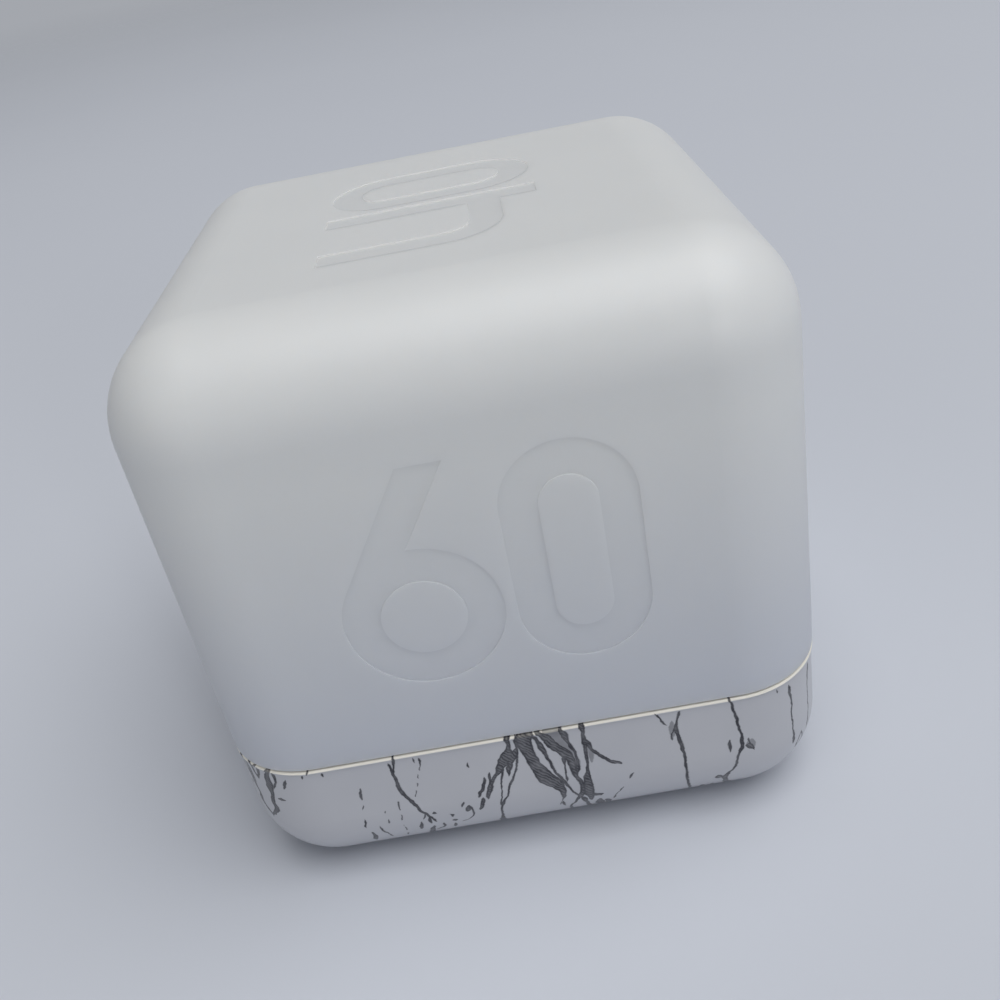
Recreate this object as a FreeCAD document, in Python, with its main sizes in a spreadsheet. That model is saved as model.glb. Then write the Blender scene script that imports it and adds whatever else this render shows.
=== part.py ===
import FreeCAD, Part
import math
import os
import re

import Sketcher

# Turn-over minutes timer: a 60 mm cube with softly rounded edges.
# Origin at the middle of the underside, +Z up, the face marked 60 looks along -Y.

os.makedirs("parts", exist_ok=True)
V = FreeCAD.Vector
doc = FreeCAD.newDocument("cube_timer")

# ---------------------------------------------------------------- driving dimensions, mm

SIZES = {
    # casing
    "edge_length": 60.0,
    "edge_radius": 9.2,
    "wall": 2.2,
    "seam_height": 16.3,
    "seam_gap": 0.3,
    "base_inset": 0.15,
    "rim_height": 0.5,
    "rim_round": 0.2,
    "lip_thickness": 0.9,
    "lip_depth": 2.0,
    "lip_play": 0.15,
    # numerals sunk into the shell
    "numeral_depth": 0.12,
    "numeral_height": 22.4,
    "numeral_stroke": 3.4,
    "numeral_gap": 1.0,
    "numeral_drop": 24.1,
    "top_numeral_height": 20.8,
    "top_numeral_stroke": 3.2,
    "top_numeral_shift": 0.95,
    "zero_width": 12.0,
    "one_flag_reach": 3.6,
    "two_width": 13.0,
    "two_turn": 35.0,
    "four_width": 14.5,
    "four_bar_level": 3.6,
    "four_corner": 5.6,
    "five_width": 13.2,
    "five_belly_start": 160.0,
    "five_belly_sweep": 310.0,
    "six_width": 14.5,
    "six_lean": 59.0,
    # posts that the casing screws join
    "post_inset": 10.5,
    "post_drop": 2.4,
    "post_radius": 3.6,
    "pillar_radius": 3.2,
    "rib_thickness": 1.2,
    "rib_rise": 1.0,
    "thread_play": 0.05,
    "shank_play": 0.2,
    "head_play": 0.3,
    "screw_recess": 0.35,
    "casing_screw_radius": 1.25,
    "casing_screw_length": 13.0,
    "casing_screw_depth": 5.0,
    "casing_head_radius": 2.3,
    "casing_head_height": 1.7,
    # cells, AAA
    "cell_diameter": 10.5,
    "cell_end_room": 15.5,
    "cell_gap": 0.7,
    "cell_lift": 0.4,
    "cell_play": 0.3,
    "nub_radius": 1.9,
    "nub_length": 0.9,
    "bead_depth": 0.25,
    # battery box
    "box_wall": 1.3,
    "box_play": 0.1,
    "spring_room": 3.3,
    "plate_thickness": 0.4,
    "plate_margin": 1.9,
    "button_height": 0.6,
    "button_radius": 2.4,
    "tail_width": 2.0,
    "tail_play": 0.2,
    "spring_wire": 0.3,
    "spring_base_radius": 3.4,
    "spring_cone_angle": 20.0,
    "spring_half_turns": 6,
    "spring_end_gap": 0.05,
    "tower_offset": 3.25,
    "tower_post_gap": 8.0,
    "tower_radius": 2.3,
    "tower_foot": 8.0,
    # battery door
    "door_overlap": 0.85,
    "door_gap": 0.3,
    "door_front_margin": 2.1,
    "door_wall": 2.0,
    "door_back_height": 10.0,
    "flange_width": 1.2,
    "flange_thickness": 0.7,
    "grip_width": 12.0,
    "grip_groove": 0.9,
    "grip_depth": 0.5,
    "grip_pitch": 2.0,
    "grip_setback": 7.7,
    # main board
    "board_margin": 1.8,
    "board_corner": 5.0,
    "board_gap": 1.0,
    "board_thickness": 1.6,
    "board_play": 0.4,
    "board_screw_radius": 0.95,
    "board_screw_length": 12.5,
    "board_head_radius": 1.9,
    "board_head_height": 1.3,
    "pin_radius": 0.3,
    "pin_reach": 0.8,
    "pin_play": 0.1,
    # buzzer
    "buzzer_radius": 4.8,
    "buzzer_height": 8.5,
    "buzzer_wall": 0.8,
    "gasket_thickness": 0.8,
    "sound_hole_radius": 0.5,
    "sound_hole_pitch": 1.45,
    "collar_thickness": 1.1,
    "collar_inset": 0.2,
    "buzzer_mouth_radius": 1.4,
    "buzzer_lid": 1.0,
    "buzzer_air": 2.0,
    "diaphragm_thickness": 0.15,
    "magnet_thickness": 1.0,
    "pole_radius": 0.8,
    "coil_play": 0.1,
    # slide switch
    "switch_box_gap": 4.4,
    "switch_width": 4.0,
    "switch_length": 9.0,
    "switch_height": 3.5,
    "switch_skin": 0.4,
    "switch_travel": 2.0,
    "knob_width": 2.9,
    "knob_length": 4.0,
    "knob_gap": 0.3,
    "knob_sink": 0.3,
    "scoop_depth": 1.0,
    "scoop_margin": 1.8,
    "guide_width": 5.0,
    "guide_length": 8.4,
    "guide_thickness": 1.0,
    "lever_side": 1.4,
    "lever_play": 0.2,
    "lever_drop": 2.6,
    "slider_length": 3.2,
    "switch_pitch": 2.5,
    "fork_wall": 1.2,
    "fork_gap": 0.4,
    "ridge_pitch": 1.2,
    "ridge_depth": 0.35,
    # tilt switches
    "tilt_radius": 2.1,
    "tilt_length": 6.5,
    "tilt_skin": 0.3,
    "tilt_header": 1.0,
    "tilt_edge_gap": 0.5,
    "tilt_lead": 1.0,
    "tilt_rest": 0.1,
    "ball_radius": 1.5,
    "ball_gap": 0.05,
    # signal lights
    "light_radius": 1.5,
    "light_height": 3.6,
    "light_across": 9.5,
    "light_post_gap": 1.5,
    "light_flange": 0.35,
    "light_flange_height": 0.6,
    "light_lead_spacing": 1.6,
    # small parts on the board; the grid sets where they stand
    "board_grid": 1.27,
    "part_stand": 0.2,
    "chip_length": 10.0,
    "chip_width": 3.9,
    "chip_height": 1.5,
    "chip_mark_radius": 0.4,
    "lead_width": 0.4,
    "lead_sheet": 0.2,
    "lead_rise": 1.0,
    "lead_reach": 1.05,
    "crystal_radius": 1.05,
    "crystal_length": 6.0,
    "tin_radius": 2.5,
    "tin_height": 7.0,
    "ceramic_length": 2.0,
    "ceramic_width": 1.2,
    "ceramic_height": 1.1,
    "resistor_length": 2.0,
    "resistor_width": 1.2,
    "resistor_height": 0.5,
    "transistor_length": 2.9,
    "transistor_width": 1.3,
    "transistor_height": 1.0,
    "transistor_foot": 0.6,
}

sheet = doc.addObject("Spreadsheet::Sheet", "sizes")
for row, (alias, number) in enumerate(SIZES.items(), start=1):
    sheet.set(f"A{row}", alias)
    sheet.set(f"B{row}", str(number))
    sheet.setAlias(f"B{row}", alias)
doc.recompute()

# ---------------------------------------------------------------- places worked out from the sizes

HALF = "(edge_length / 2)"
SHELL_INSIDE = "(edge_length / 2 - wall)"
BASE_HALF = "(edge_length / 2 - base_inset)"
BASE_RADIUS = "(edge_radius - base_inset)"
BASE_INSIDE = "(edge_length / 2 - base_inset - wall)"
BASE_INSIDE_RADIUS = "(edge_radius - base_inset - wall)"
SHELL_LOW = "(seam_height + seam_gap)"
POST = "(edge_length / 2 - post_inset)"
POST_TOP = "(seam_height - post_drop)"
CELL_X = "((cell_diameter + cell_gap) / 2)"
CELL_Z = "(wall + cell_lift + cell_diameter / 2)"
BAY_X = "(cell_diameter + cell_gap / 2 + cell_play)"
CELL_LENGTH = "(edge_length - cell_end_room)"
BAY_Y = f"(({CELL_LENGTH} + spring_room) / 2)"
BAY_ROOF = "(wall + cell_lift + cell_diameter + cell_play)"
PLATE_Y = f"({BAY_Y} + plate_thickness)"
PLATE_HALF = "((cell_diameter - plate_margin) / 2)"
BOX_X = f"({BAY_X} + box_wall)"
BOX_TOP = f"({BAY_ROOF} + box_wall)"
TOWER_X = f"({BOX_X} + tower_offset)"
TOWER_Y = f"({POST} - tower_post_gap)"
BOARD_LOW = f"({BOX_TOP} + board_gap)"
BOARD_TOP = f"({BOARD_LOW} + board_thickness)"
BOARD_HALF = "(edge_length / 2 - wall - board_margin)"
BUZZER_X = f"(({BOX_X} + {BASE_INSIDE}) / 2)"
SWITCH_X = f"(-{BOX_X} - switch_box_gap)"
DOOR_X = f"({BAY_X} + door_overlap)"
DOOR_REACH = "(edge_length / 2 - edge_radius - door_front_margin)"
FLANGE_X = f"({DOOR_X} + flange_width)"
LEDGE = "(door_wall - flange_thickness - door_gap)"
FAR = "edge_length"
CORNERS = [(-1, -1), (1, -1), (1, 1), (-1, 1)]

nodes = []


def formula(text):
    """Turns each bare size name into a reference to the sheet."""
    return re.sub(r"[a-z_]+", lambda w: f"sizes.{w[0]}" if w[0] in SIZES else w[0], text)


def mm(alias):
    """The sheet's present value of one size."""
    return float(sheet.get(alias))


def bind(thing, formulas):
    for target, text in formulas.items():
        thing.setExpression(target, formula(str(text)))


def signed(sign, text):
    return f"({sign}) * ({text})"


# ---------------------------------------------------------------- ways of making solids

TURN = {
    "x": FreeCAD.Rotation(V(0, 1, 0), 90),
    "y": FreeCAD.Rotation(V(1, 0, 0), -90),
    "z": FreeCAD.Rotation(),
}


def box(name, x, y, z):
    """A block between two places along each axis."""
    block = doc.addObject("Part::Box", name)
    bind(block, {
        "Length": f"({x[1]}) - ({x[0]})",
        "Width": f"({y[1]}) - ({y[0]})",
        "Height": f"({z[1]}) - ({z[0]})",
        "Placement.Base.x": x[0],
        "Placement.Base.y": y[0],
        "Placement.Base.z": z[0],
    })
    return block


def centred(middle, half):
    return (f"({middle}) - ({half})", f"({middle}) + ({half})")


def set_at(thing, start, along="z"):
    """Puts a primitive's own origin at start, with its axis along x, y or z."""
    thing.Placement = FreeCAD.Placement(V(), TURN[along])
    bind(thing, {f"Placement.Base.{axis}": place for axis, place in zip("xyz", start)})
    return thing


def rod(name, start, length, radius, along="z"):
    bar = doc.addObject("Part::Cylinder", name)
    bind(bar, {"Radius": radius, "Height": length})
    return set_at(bar, start, along)


def ball(name, centre, radius):
    sphere = doc.addObject("Part::Sphere", name)
    bind(sphere, {"Radius": radius})
    return set_at(sphere, centre)


def fuse(name, pieces):
    joined = doc.addObject("Part::MultiFuse", name)
    joined.Shapes = pieces
    joined.Refine = True
    return joined


def cut(name, solid, tools):
    trimmed = doc.addObject("Part::Cut", name)
    trimmed.Base = solid
    trimmed.Tool = tools[0] if len(tools) == 1 else fuse(f"{name}_tools", tools)
    trimmed.Refine = True
    return trimmed


def common(name, first, second):
    shared = doc.addObject("Part::Common", name)
    shared.Base = first
    shared.Tool = second
    shared.Refine = True
    return shared


def group(name, pieces):
    """Like pieces that stay separate solids in one node."""
    several = doc.addObject("Part::Compound", name)
    several.Links = pieces
    return several


def node(label, solid):
    """Names the finished piece."""
    solid.Label = label
    nodes.append(solid)
    return solid


def plane_sketch(body, name, level):
    """A sketch on the body's own XY plane, raised to a level."""
    sketch = body.newObject("Sketcher::SketchObject", name)
    plane = [item for item in body.Origin.OriginFeatures if item.Role == "XY_Plane"][0]
    sketch.AttachmentSupport = [(plane, "")]
    sketch.MapMode = "FlatFace"
    bind(sketch, {"AttachmentOffset.Base.z": level})
    return sketch


def draw_square(sketch, half):
    """A square about the origin, its side driven by the sheet."""
    start = 10
    corners = [V(x * start, y * start) for x, y in CORNERS]
    for index, corner in enumerate(corners):
        sketch.addGeometry(Part.LineSegment(corner, corners[(index + 1) % 4]), False)
    for index in range(4):
        sketch.addConstraint(Sketcher.Constraint("Coincident", index, 2, (index + 1) % 4, 1))
    for index in (0, 2):
        sketch.addConstraint(Sketcher.Constraint("Horizontal", index))
    for index in (1, 3):
        sketch.addConstraint(Sketcher.Constraint("Vertical", index))
    sketch.addConstraint(Sketcher.Constraint("Symmetric", 0, 1, 1, 2, -1, 1))
    for line, kind in ((0, "DistanceX"), (1, "DistanceY")):
        side = sketch.addConstraint(Sketcher.Constraint(kind, line, 1, line, 2, 2 * start))
        sketch.setExpression(f"Constraints[{side}]", formula(f"2 * {half}"))


def draw_circles(sketch, centres, radius):
    for x, y in centres:
        circle = sketch.addGeometry(Part.Circle(V(1, 1), V(0, 0, 1), 1), False)
        for kind, place in (("DistanceX", x), ("DistanceY", y)):
            item = sketch.addConstraint(Sketcher.Constraint(kind, -1, 1, circle, 3, 1))
            sketch.setExpression(f"Constraints[{item}]", formula(place))
        item = sketch.addConstraint(Sketcher.Constraint("Radius", circle, 1))
        sketch.setExpression(f"Constraints[{item}]", formula(radius))


def upright_edges(shape):
    return [
        f"Edge{number}" for number, edge in enumerate(shape.Edges, start=1)
        if abs(edge.Vertexes[0].Point.z - edge.Vertexes[-1].Point.z) > 1e-6
    ]


def flat_edges(shape, level):
    return [
        f"Edge{number}" for number, edge in enumerate(shape.Edges, start=1)
        if all(abs(corner.Point.z - level) < 1e-6 for corner in edge.Vertexes)
    ]


def block(name, half, low, high, radius, rounded_end=None, end_radius=None):
    """A square block with rounded upright edges and, at one end or both, rounded flat edges."""
    body = doc.addObject("PartDesign::Body", name)
    sketch = plane_sketch(body, f"{name}_square", low)
    draw_square(sketch, half)
    pad = body.newObject("PartDesign::Pad", f"{name}_pad")
    pad.Profile = sketch
    bind(pad, {"Length": f"({high}) - ({low})"})
    doc.recompute()
    bottom, top = pad.Shape.BoundBox.ZMin, pad.Shape.BoundBox.ZMax
    ends = {"low": [bottom], "high": [top], "both": [bottom, top], None: []}[rounded_end]
    edges = upright_edges(pad.Shape)
    if end_radius is None:
        for level in ends:
            edges += flat_edges(pad.Shape, level)
    rounding = body.newObject("PartDesign::Fillet", f"{name}_rounding")
    rounding.Base = (pad, edges)
    bind(rounding, {"Radius": radius})
    doc.recompute()
    if end_radius is not None:
        softening = body.newObject("PartDesign::Fillet", f"{name}_softening")
        softening.Base = (rounding, sum((flat_edges(rounding.Shape, level) for level in ends), []))
        bind(softening, {"Radius": end_radius})
        doc.recompute()
    return body


# ---------------------------------------------------------------- numerals

def arc_band(centre, outer, stroke, start, sweep, depth):
    """Part of a flat ring, as tall as depth."""
    place = V(centre[0], centre[1], 0)
    turned = FreeCAD.Placement(place, FreeCAD.Rotation(V(0, 0, 1), start))
    disc = Part.makeCylinder(outer, depth, V(), V(0, 0, 1), sweep)
    band = disc.cut(Part.makeCylinder(outer - stroke, depth))
    band.Placement = turned
    return band


def bar(x, y, depth):
    return Part.makeBox(x[1] - x[0], y[1] - y[0], depth, V(x[0], y[0], 0))


def slab(corners, depth):
    wire = Part.makePolygon([V(x, y, 0) for x, y in [*corners, corners[0]]])
    return Part.Face(wire).extrude(V(0, 0, depth))


def stadium(width, tall, middle, depth):
    radius = width / 2
    solid = bar((middle[0] - radius, middle[0] + radius),
                (middle[1] - tall / 2 + radius, middle[1] + tall / 2 - radius), depth)
    for sign in (-1, 1):
        centre = V(middle[0], middle[1] + sign * (tall / 2 - radius), 0)
        solid = solid.fuse(Part.makeCylinder(radius, depth, centre))
    return solid.removeSplitter()


def zero(tall, stroke, depth):
    wide = mm("zero_width")
    outer = stadium(wide, tall, (0, tall / 2), depth)
    return outer.cut(stadium(wide - 2 * stroke, tall - 2 * stroke, (0, tall / 2), depth))


def one(tall, stroke, depth):
    reach = mm("one_flag_reach")
    stem = bar((0, stroke), (0, tall), depth)
    flag = slab([(0, tall), (-reach, tall - reach), (-reach, tall - reach - 1.2 * stroke),
                 (0, tall - 1.2 * stroke)], depth)
    return stem.fuse(flag)


def two(tall, stroke, depth):
    radius = mm("two_width") / 2
    turn = -mm("two_turn")
    slope = math.radians(turn)
    centre_y = tall - radius
    arch = arc_band((0, centre_y), radius, stroke, turn, 180 - turn, depth)
    run = V(math.sin(slope), -math.cos(slope), 0) * tall
    edges = [V(reach * math.cos(slope), centre_y + reach * math.sin(slope), 0)
             for reach in (radius - stroke, radius)]
    leg = slab([(p.x, p.y) for p in (edges[0], edges[1], edges[1] + run, edges[0] + run)], depth)
    foot = bar((-radius, radius), (0, stroke), depth)
    frame = bar((-radius, radius), (0, tall), depth)
    return arch.fuse([leg, foot]).common(frame)


def four(tall, stroke, depth):
    """Open-topped: a left bar turns with a round corner into the cross bar."""
    left, right = -mm("four_width") / 2, mm("four_width") / 2
    level, corner = mm("four_bar_level"), mm("four_corner")
    stem = bar((right - stroke, right), (0, tall), depth)
    side = bar((left, left + stroke), (level + corner, tall), depth)
    cross = bar((left + corner, right), (level, level + stroke), depth)
    bend = arc_band((left + corner, level + corner), corner, stroke, 180, 90, depth)
    return stem.fuse([side, cross, bend])


def five(tall, stroke, depth):
    wide = mm("five_width")
    bowl = wide / 2
    head = bar((-bowl, bowl), (tall - stroke, tall), depth)
    back = bar((-bowl, -bowl + stroke), (1.5 * bowl, tall), depth)
    belly = arc_band((0, bowl), bowl, stroke, -mm("five_belly_start"), mm("five_belly_sweep"), depth)
    return head.fuse([back, belly])


def six(tall, stroke, depth):
    """A closed bowl and a straight slanting stem that ends level."""
    bowl = mm("six_width") / 2
    ring = arc_band((0, bowl), bowl, stroke, 0, 360, depth)
    lean = math.radians(mm("six_lean"))
    touch = lean + math.pi / 2
    feet = [(reach * math.cos(touch), bowl + reach * math.sin(touch)) for reach in (bowl, bowl - stroke)]
    ends = [(x + (tall - y) / math.tan(lean), tall) for x, y in feet]
    return ring.fuse(slab([feet[0], ends[0], ends[1], feet[1]], depth))


DIGITS = {"0": zero, "1": one, "2": two, "4": four, "5": five, "6": six}


def numeral(name, text, tall, stroke, placement):
    """Solid digits that reach from the sunk floor out past the face. Local z points out of the face."""
    depth = mm("numeral_depth")
    outside = 1.0
    solids = []
    end = 0.0
    for mark in text:
        solid = DIGITS[mark](tall, stroke, depth + outside)
        solid.translate(V(end - solid.BoundBox.XMin, 0, -depth))
        end = solid.BoundBox.XMax + mm("numeral_gap")
        solids.append(solid)
    shape = solids[0].fuse(solids[1:]) if len(solids) > 1 else solids[0]
    shape.translate(V(-shape.BoundBox.Center.x, -tall / 2, 0))
    feature = doc.addObject("Part::Feature", name)
    feature.Shape = shape
    feature.Placement = placement.multiply(shape.Placement)
    return feature


def side_placement(quarter_turns):
    """The middle of a side face: 0 front, 1 right, 2 back, 3 left."""
    stand = FreeCAD.Rotation(V(1, 0, 0), 90)
    turn = FreeCAD.Rotation(V(0, 0, 1), 90 * quarter_turns)
    out = turn.multVec(V(0, -mm("edge_length") / 2, 0))
    middle = V(out.x, out.y, mm("edge_length") - mm("numeral_drop"))
    return FreeCAD.Placement(middle, turn.multiply(stand))


def shell_numerals():
    """Minutes on each face that can be turned up. The top number lies on its side."""
    numerals = []
    for quarter, text in enumerate(("60", "20", "5", "10")):
        numerals.append(numeral(f"numeral_{text}", text, mm("numeral_height"), mm("numeral_stroke"),
                                side_placement(quarter)))
    on_its_side = FreeCAD.Placement(V(0, -mm("top_numeral_shift"), mm("edge_length")),
                                    FreeCAD.Rotation(V(0, 0, 1), 90))
    numerals.append(numeral("numeral_40", "40", mm("top_numeral_height"), mm("top_numeral_stroke"),
                            on_its_side))
    return numerals


# ---------------------------------------------------------------- casing

def upper_shell():
    """Moulded five-sided cap with screw pillars, stiffening ribs and a lip that enters the base."""
    outside = block("shell_outside", HALF, SHELL_LOW, "edge_length", "edge_radius", "high")
    inside = block("shell_inside", SHELL_INSIDE, "0", "edge_length - wall", "edge_radius - wall", "high")
    lip_low = "(seam_height - lip_depth)"
    lip_outside = block("lip_outside", "(edge_length / 2 - wall + lip_thickness)", lip_low,
                        f"{SHELL_LOW} + wall", "edge_radius - wall + lip_thickness")
    walls = cut("shell_walls", fuse("shell_and_lip", [outside, lip_outside]), [inside])
    pillars, pilots = [], []
    wall_middle = "(edge_length / 2 - wall / 2)"
    ceiling = "(edge_length - wall / 2)"
    rib_z = (f"{BOARD_TOP} + rib_rise", ceiling)
    for x, y in CORNERS:
        place = (signed(x, POST), signed(y, POST))
        pillars.append(rod("pillar", (*place, POST_TOP), f"{ceiling} - {POST_TOP}", "pillar_radius"))
        pilots.append(rod("pilot", (*place, "0"), "casing_screw_depth + casing_screw_length + 1",
                          "casing_screw_radius + thread_play"))
        thin_x, thin_y = (centred(middle, "rib_thickness / 2") for middle in place)
        pillars.append(box("rib_x", ordered(x, POST, wall_middle), thin_y, rib_z))
        pillars.append(box("rib_y", thin_x, ordered(y, POST, wall_middle), rib_z))
    limit = block("rib_limit", wall_middle, "0", ceiling, "edge_radius - wall / 2", "high")
    body = fuse("shell_with_pillars", [walls, common("ribs_and_pillars", fuse("rib_blanks", pillars), limit)])
    node("upper_shell", cut("upper_shell", body, [*pilots, *shell_numerals()]))


def ordered(sign, near, far):
    """Two places on one side of the middle, the lower first."""
    return (near, far) if sign > 0 else (f"-{far}", f"-{near}")


def base_blocks():
    """The base's outer form and the hollow inside it."""
    outside = block("base_outside", BASE_HALF, "0", "seam_height", BASE_RADIUS, "low")
    inside = block("base_inside", BASE_INSIDE, "wall", "seam_height + 5", BASE_INSIDE_RADIUS, "low")
    return outside, inside


def sound_hole_places():
    """A centre hole with two rings round it, on an even triangular pitch."""
    places = [(0, 0)]
    for ring in (1, 2):
        for side in range(6):
            corner, following = math.radians(60 * side), math.radians(60 * (side + 1))
            for step in range(ring):
                share = step / ring
                x = ring * ((1 - share) * math.cos(corner) + share * math.cos(following))
                y = ring * ((1 - share) * math.sin(corner) + share * math.sin(following))
                places.append((round(x, 6), round(y, 6)))
    return places


def base_cover():
    """Moulded tray: posts, bosses, sound holes, switch slot, and a way for the battery door."""
    outside, inside = base_blocks()
    rim = block("rim_outside", HALF, "seam_height - rim_height", "seam_height", "edge_radius",
                "both", "rim_round")
    lip_hollow = block("lip_hollow", "(edge_length / 2 - wall + lip_thickness + lip_play)",
                       "seam_height - lip_depth - lip_play", "seam_height + 5",
                       "edge_radius - wall + lip_thickness + lip_play")
    tray = cut("tray", fuse("tray_and_rim", [outside, rim]), [inside, lip_hollow])
    added, removed = [], []
    for x, y in CORNERS:
        post = (signed(x, POST), signed(y, POST))
        added.append(rod("post", (*post, "wall / 2"), f"{POST_TOP} - wall / 2", "post_radius"))
        removed.append(rod("post_hole", (*post, "-1"), f"{POST_TOP} + 2", "casing_screw_radius + shank_play"))
        removed.append(rod("head_recess", (*post, "-1"), "casing_screw_depth + 1",
                           "casing_head_radius + head_play"))
        boss = (signed(x, TOWER_X), signed(y, TOWER_Y))
        added.append(rod("boss", (*boss, "wall / 2"), "tower_foot - wall / 2", "tower_radius"))
        removed.append(rod("boss_pilot", (*boss, f"{BOARD_TOP} - board_screw_length - 0.5"),
                           "board_screw_length", "board_screw_radius + thread_play"))
    collar = rod("collar", (BUZZER_X, "0", "wall / 2"),
                 f"{BOARD_LOW} - buzzer_height - gasket_thickness - wall / 2", "buzzer_radius - collar_inset")
    added.append(collar)
    removed.append(rod("collar_hollow", (BUZZER_X, "0", "wall"), "edge_length / 4",
                       "buzzer_radius - collar_inset - collar_thickness"))
    for x, y in sound_hole_places():
        removed.append(rod("sound_hole", (f"{BUZZER_X} + ({x}) * sound_hole_pitch",
                                          f"({y}) * sound_hole_pitch", "-1"), "wall + 3",
                           "sound_hole_radius"))
    for sign in (-1, 1):
        middle = f"{SWITCH_X} + ({sign}) * (guide_width / 2 + knob_gap + rib_thickness / 2)"
        added.append(box("knob_guide", centred(middle, "rib_thickness / 2"),
                         centred("0", "guide_length / 2 + switch_travel"),
                         ("wall / 2", "wall + knob_gap + guide_thickness + 0.5")))
    scoop_x = "knob_width / 2 + scoop_margin"
    scoop_y = "knob_length / 2 + switch_travel + scoop_margin"
    removed.append(box("scoop", centred(SWITCH_X, scoop_x), centred("0", scoop_y),
                       ("-1", "scoop_depth")))
    removed.append(box("knob_slot", centred(SWITCH_X, "knob_width / 2 + knob_gap"),
                       centred("0", "knob_length / 2 + switch_travel + knob_gap"), ("-1", "wall + 0.2")))
    way_front = f"-({DOOR_REACH} + door_gap)"
    removed.append(box("door_way", centred("0", f"{DOOR_X} + door_gap"), (way_front, FAR),
                       ("-1", "wall + 0.2")))
    removed.append(box("door_groove", centred("0", f"{FLANGE_X} + door_gap"), (way_front, FAR),
                       (LEDGE, "wall + 0.1")))
    removed.append(box("door_back_way", centred("0", f"{DOOR_X} + door_gap"),
                       ("edge_length / 2 - edge_radius", FAR), ("-1", "door_back_height + door_gap")))
    node("base_cover", cut("base_cover", fuse("base_with_posts", [tray, *added]), removed))


def casing_screws():
    """Self-tapping screws: head up inside the post, shank into the shell's pillar."""
    screws = []
    for x, y in CORNERS:
        place = (signed(x, POST), signed(y, POST))
        head = rod("head", (*place, "casing_screw_depth - casing_head_height"), "casing_head_height",
                   "casing_head_radius")
        shank = rod("shank", (*place, "casing_screw_depth"), "casing_screw_length", "casing_screw_radius")
        low = ("0", "casing_screw_depth - casing_head_height / 3")
        reach = "casing_head_radius * 0.55"
        arms = [box("recess_x", centred(place[0], reach), centred(place[1], "screw_recess"), low),
                box("recess_y", centred(place[0], "screw_recess"), centred(place[1], reach), low)]
        screws.append(cut("casing_screw", fuse("casing_screw_blank", [head, shank]), arms))
    node("casing_screws", group("casing_screws", screws))


def battery_door():
    """Sliding door that wraps the rear lower edge. Flanges along both sides run on the base's ledges."""
    outside = block("door_outside", BASE_HALF, "0", "seam_height", BASE_RADIUS, "low")
    inside = block("door_inside", "(edge_length / 2 - base_inset - door_wall)", "door_wall",
                   "seam_height + 5", "edge_radius - base_inset - door_wall", "low")
    skin = cut("door_skin", outside, [inside])
    plate = common("door_plate", skin, box("door_window", centred("0", DOOR_X), (f"-{DOOR_REACH}", FAR),
                                           ("-1", "door_back_height")))
    outline = block("flange_outline", BASE_HALF, "0", "seam_height", BASE_RADIUS, "low")
    flange = common("door_flange", outline, box("flange_window", centred("0", FLANGE_X),
                                                (f"-{DOOR_REACH}", FAR),
                                                ("door_wall - flange_thickness", "door_wall")))
    grooves = []
    for index in range(4):
        middle = f"{DOOR_REACH} - grip_setback + ({index}) * grip_pitch"
        grooves.append(box("grip", centred("0", "grip_width / 2"), centred(middle, "grip_groove / 2"),
                           ("-1", "grip_depth")))
    node("battery_door", cut("battery_door", fuse("door_blank", [plate, flange]), grooves))


# ---------------------------------------------------------------- power

def battery_box():
    """Upturned tray over the cells. Its towers carry the board and take the board screws."""
    walls = cut("box_walls",
                box("box_outside", centred("0", BOX_X), centred("0", f"{PLATE_Y} + box_wall"),
                    ("wall + box_play", BOX_TOP)),
                [box("bay", centred("0", BAY_X), centred("0", PLATE_Y), ("0", BAY_ROOF))])
    fit = block("box_fit", f"({BASE_INSIDE} - box_play)", "wall + box_play", "edge_length / 2",
                f"{BASE_INSIDE_RADIUS} - box_play", "low")
    added = [common("box_fitted", walls, fit)]
    removed = []
    for x, y in CORNERS:
        place = (signed(x, TOWER_X), signed(y, TOWER_Y))
        added.append(rod("tower", (*place, "tower_foot"), f"{BOARD_LOW} - tower_foot", "tower_radius"))
        added.append(box("web", ordered(x, f"({BAY_X} + box_wall / 2)", TOWER_X),
                         centred(place[1], "box_wall / 2"), ("tower_foot", BOX_TOP)))
        removed.append(rod("tower_hole", (*place, "0"), "edge_length / 2", "board_screw_radius + shank_play"))
    for x, y in ((-1, -1), (1, -1), (1, 1)):
        tail_y = f"{BAY_Y} + plate_thickness / 2"
        removed.append(box("tail_slot", centred(signed(x, CELL_X), "tail_width / 2 + tail_play"),
                           centred(signed(y, tail_y), "plate_thickness / 2 + pin_play"),
                           (f"{BAY_ROOF} - 1", f"{BOX_TOP} + 1")))
    node("battery_box", cut("battery_box", fuse("box_with_towers", added), removed))


def cell(side, label):
    """A steel can, a crimped shoulder and the raised nub, along Y. The nub points along -side."""
    x = signed(side, CELL_X)
    tip = f"({BAY_Y} - button_height)"
    start = f"-{tip} + nub_length" if side < 0 else f"{tip} - {CELL_LENGTH}"
    can = rod("can", (x, start, CELL_Z), f"{CELL_LENGTH} - nub_length", "cell_diameter / 2", "y")
    nub_start = f"-{tip}" if side < 0 else f"{tip} - nub_length - 0.5"
    nub = rod("nub", (x, nub_start, CELL_Z), "nub_length + 0.5", "nub_radius", "y")
    blank = fuse(f"{label}_blank", [can, nub])
    groove_y = f"-{tip} + nub_length + 2" if side < 0 else f"{tip} - nub_length - 3"
    ring_inside = rod("bead_inside", (x, f"{groove_y} - 1", CELL_Z), "3", "cell_diameter / 2 - bead_depth", "y")
    ring = cut("bead", rod("bead_outside", (x, groove_y, CELL_Z), "1", "cell_diameter", "y"), [ring_inside])
    node(label, cut(label, blank, [ring]))


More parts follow.
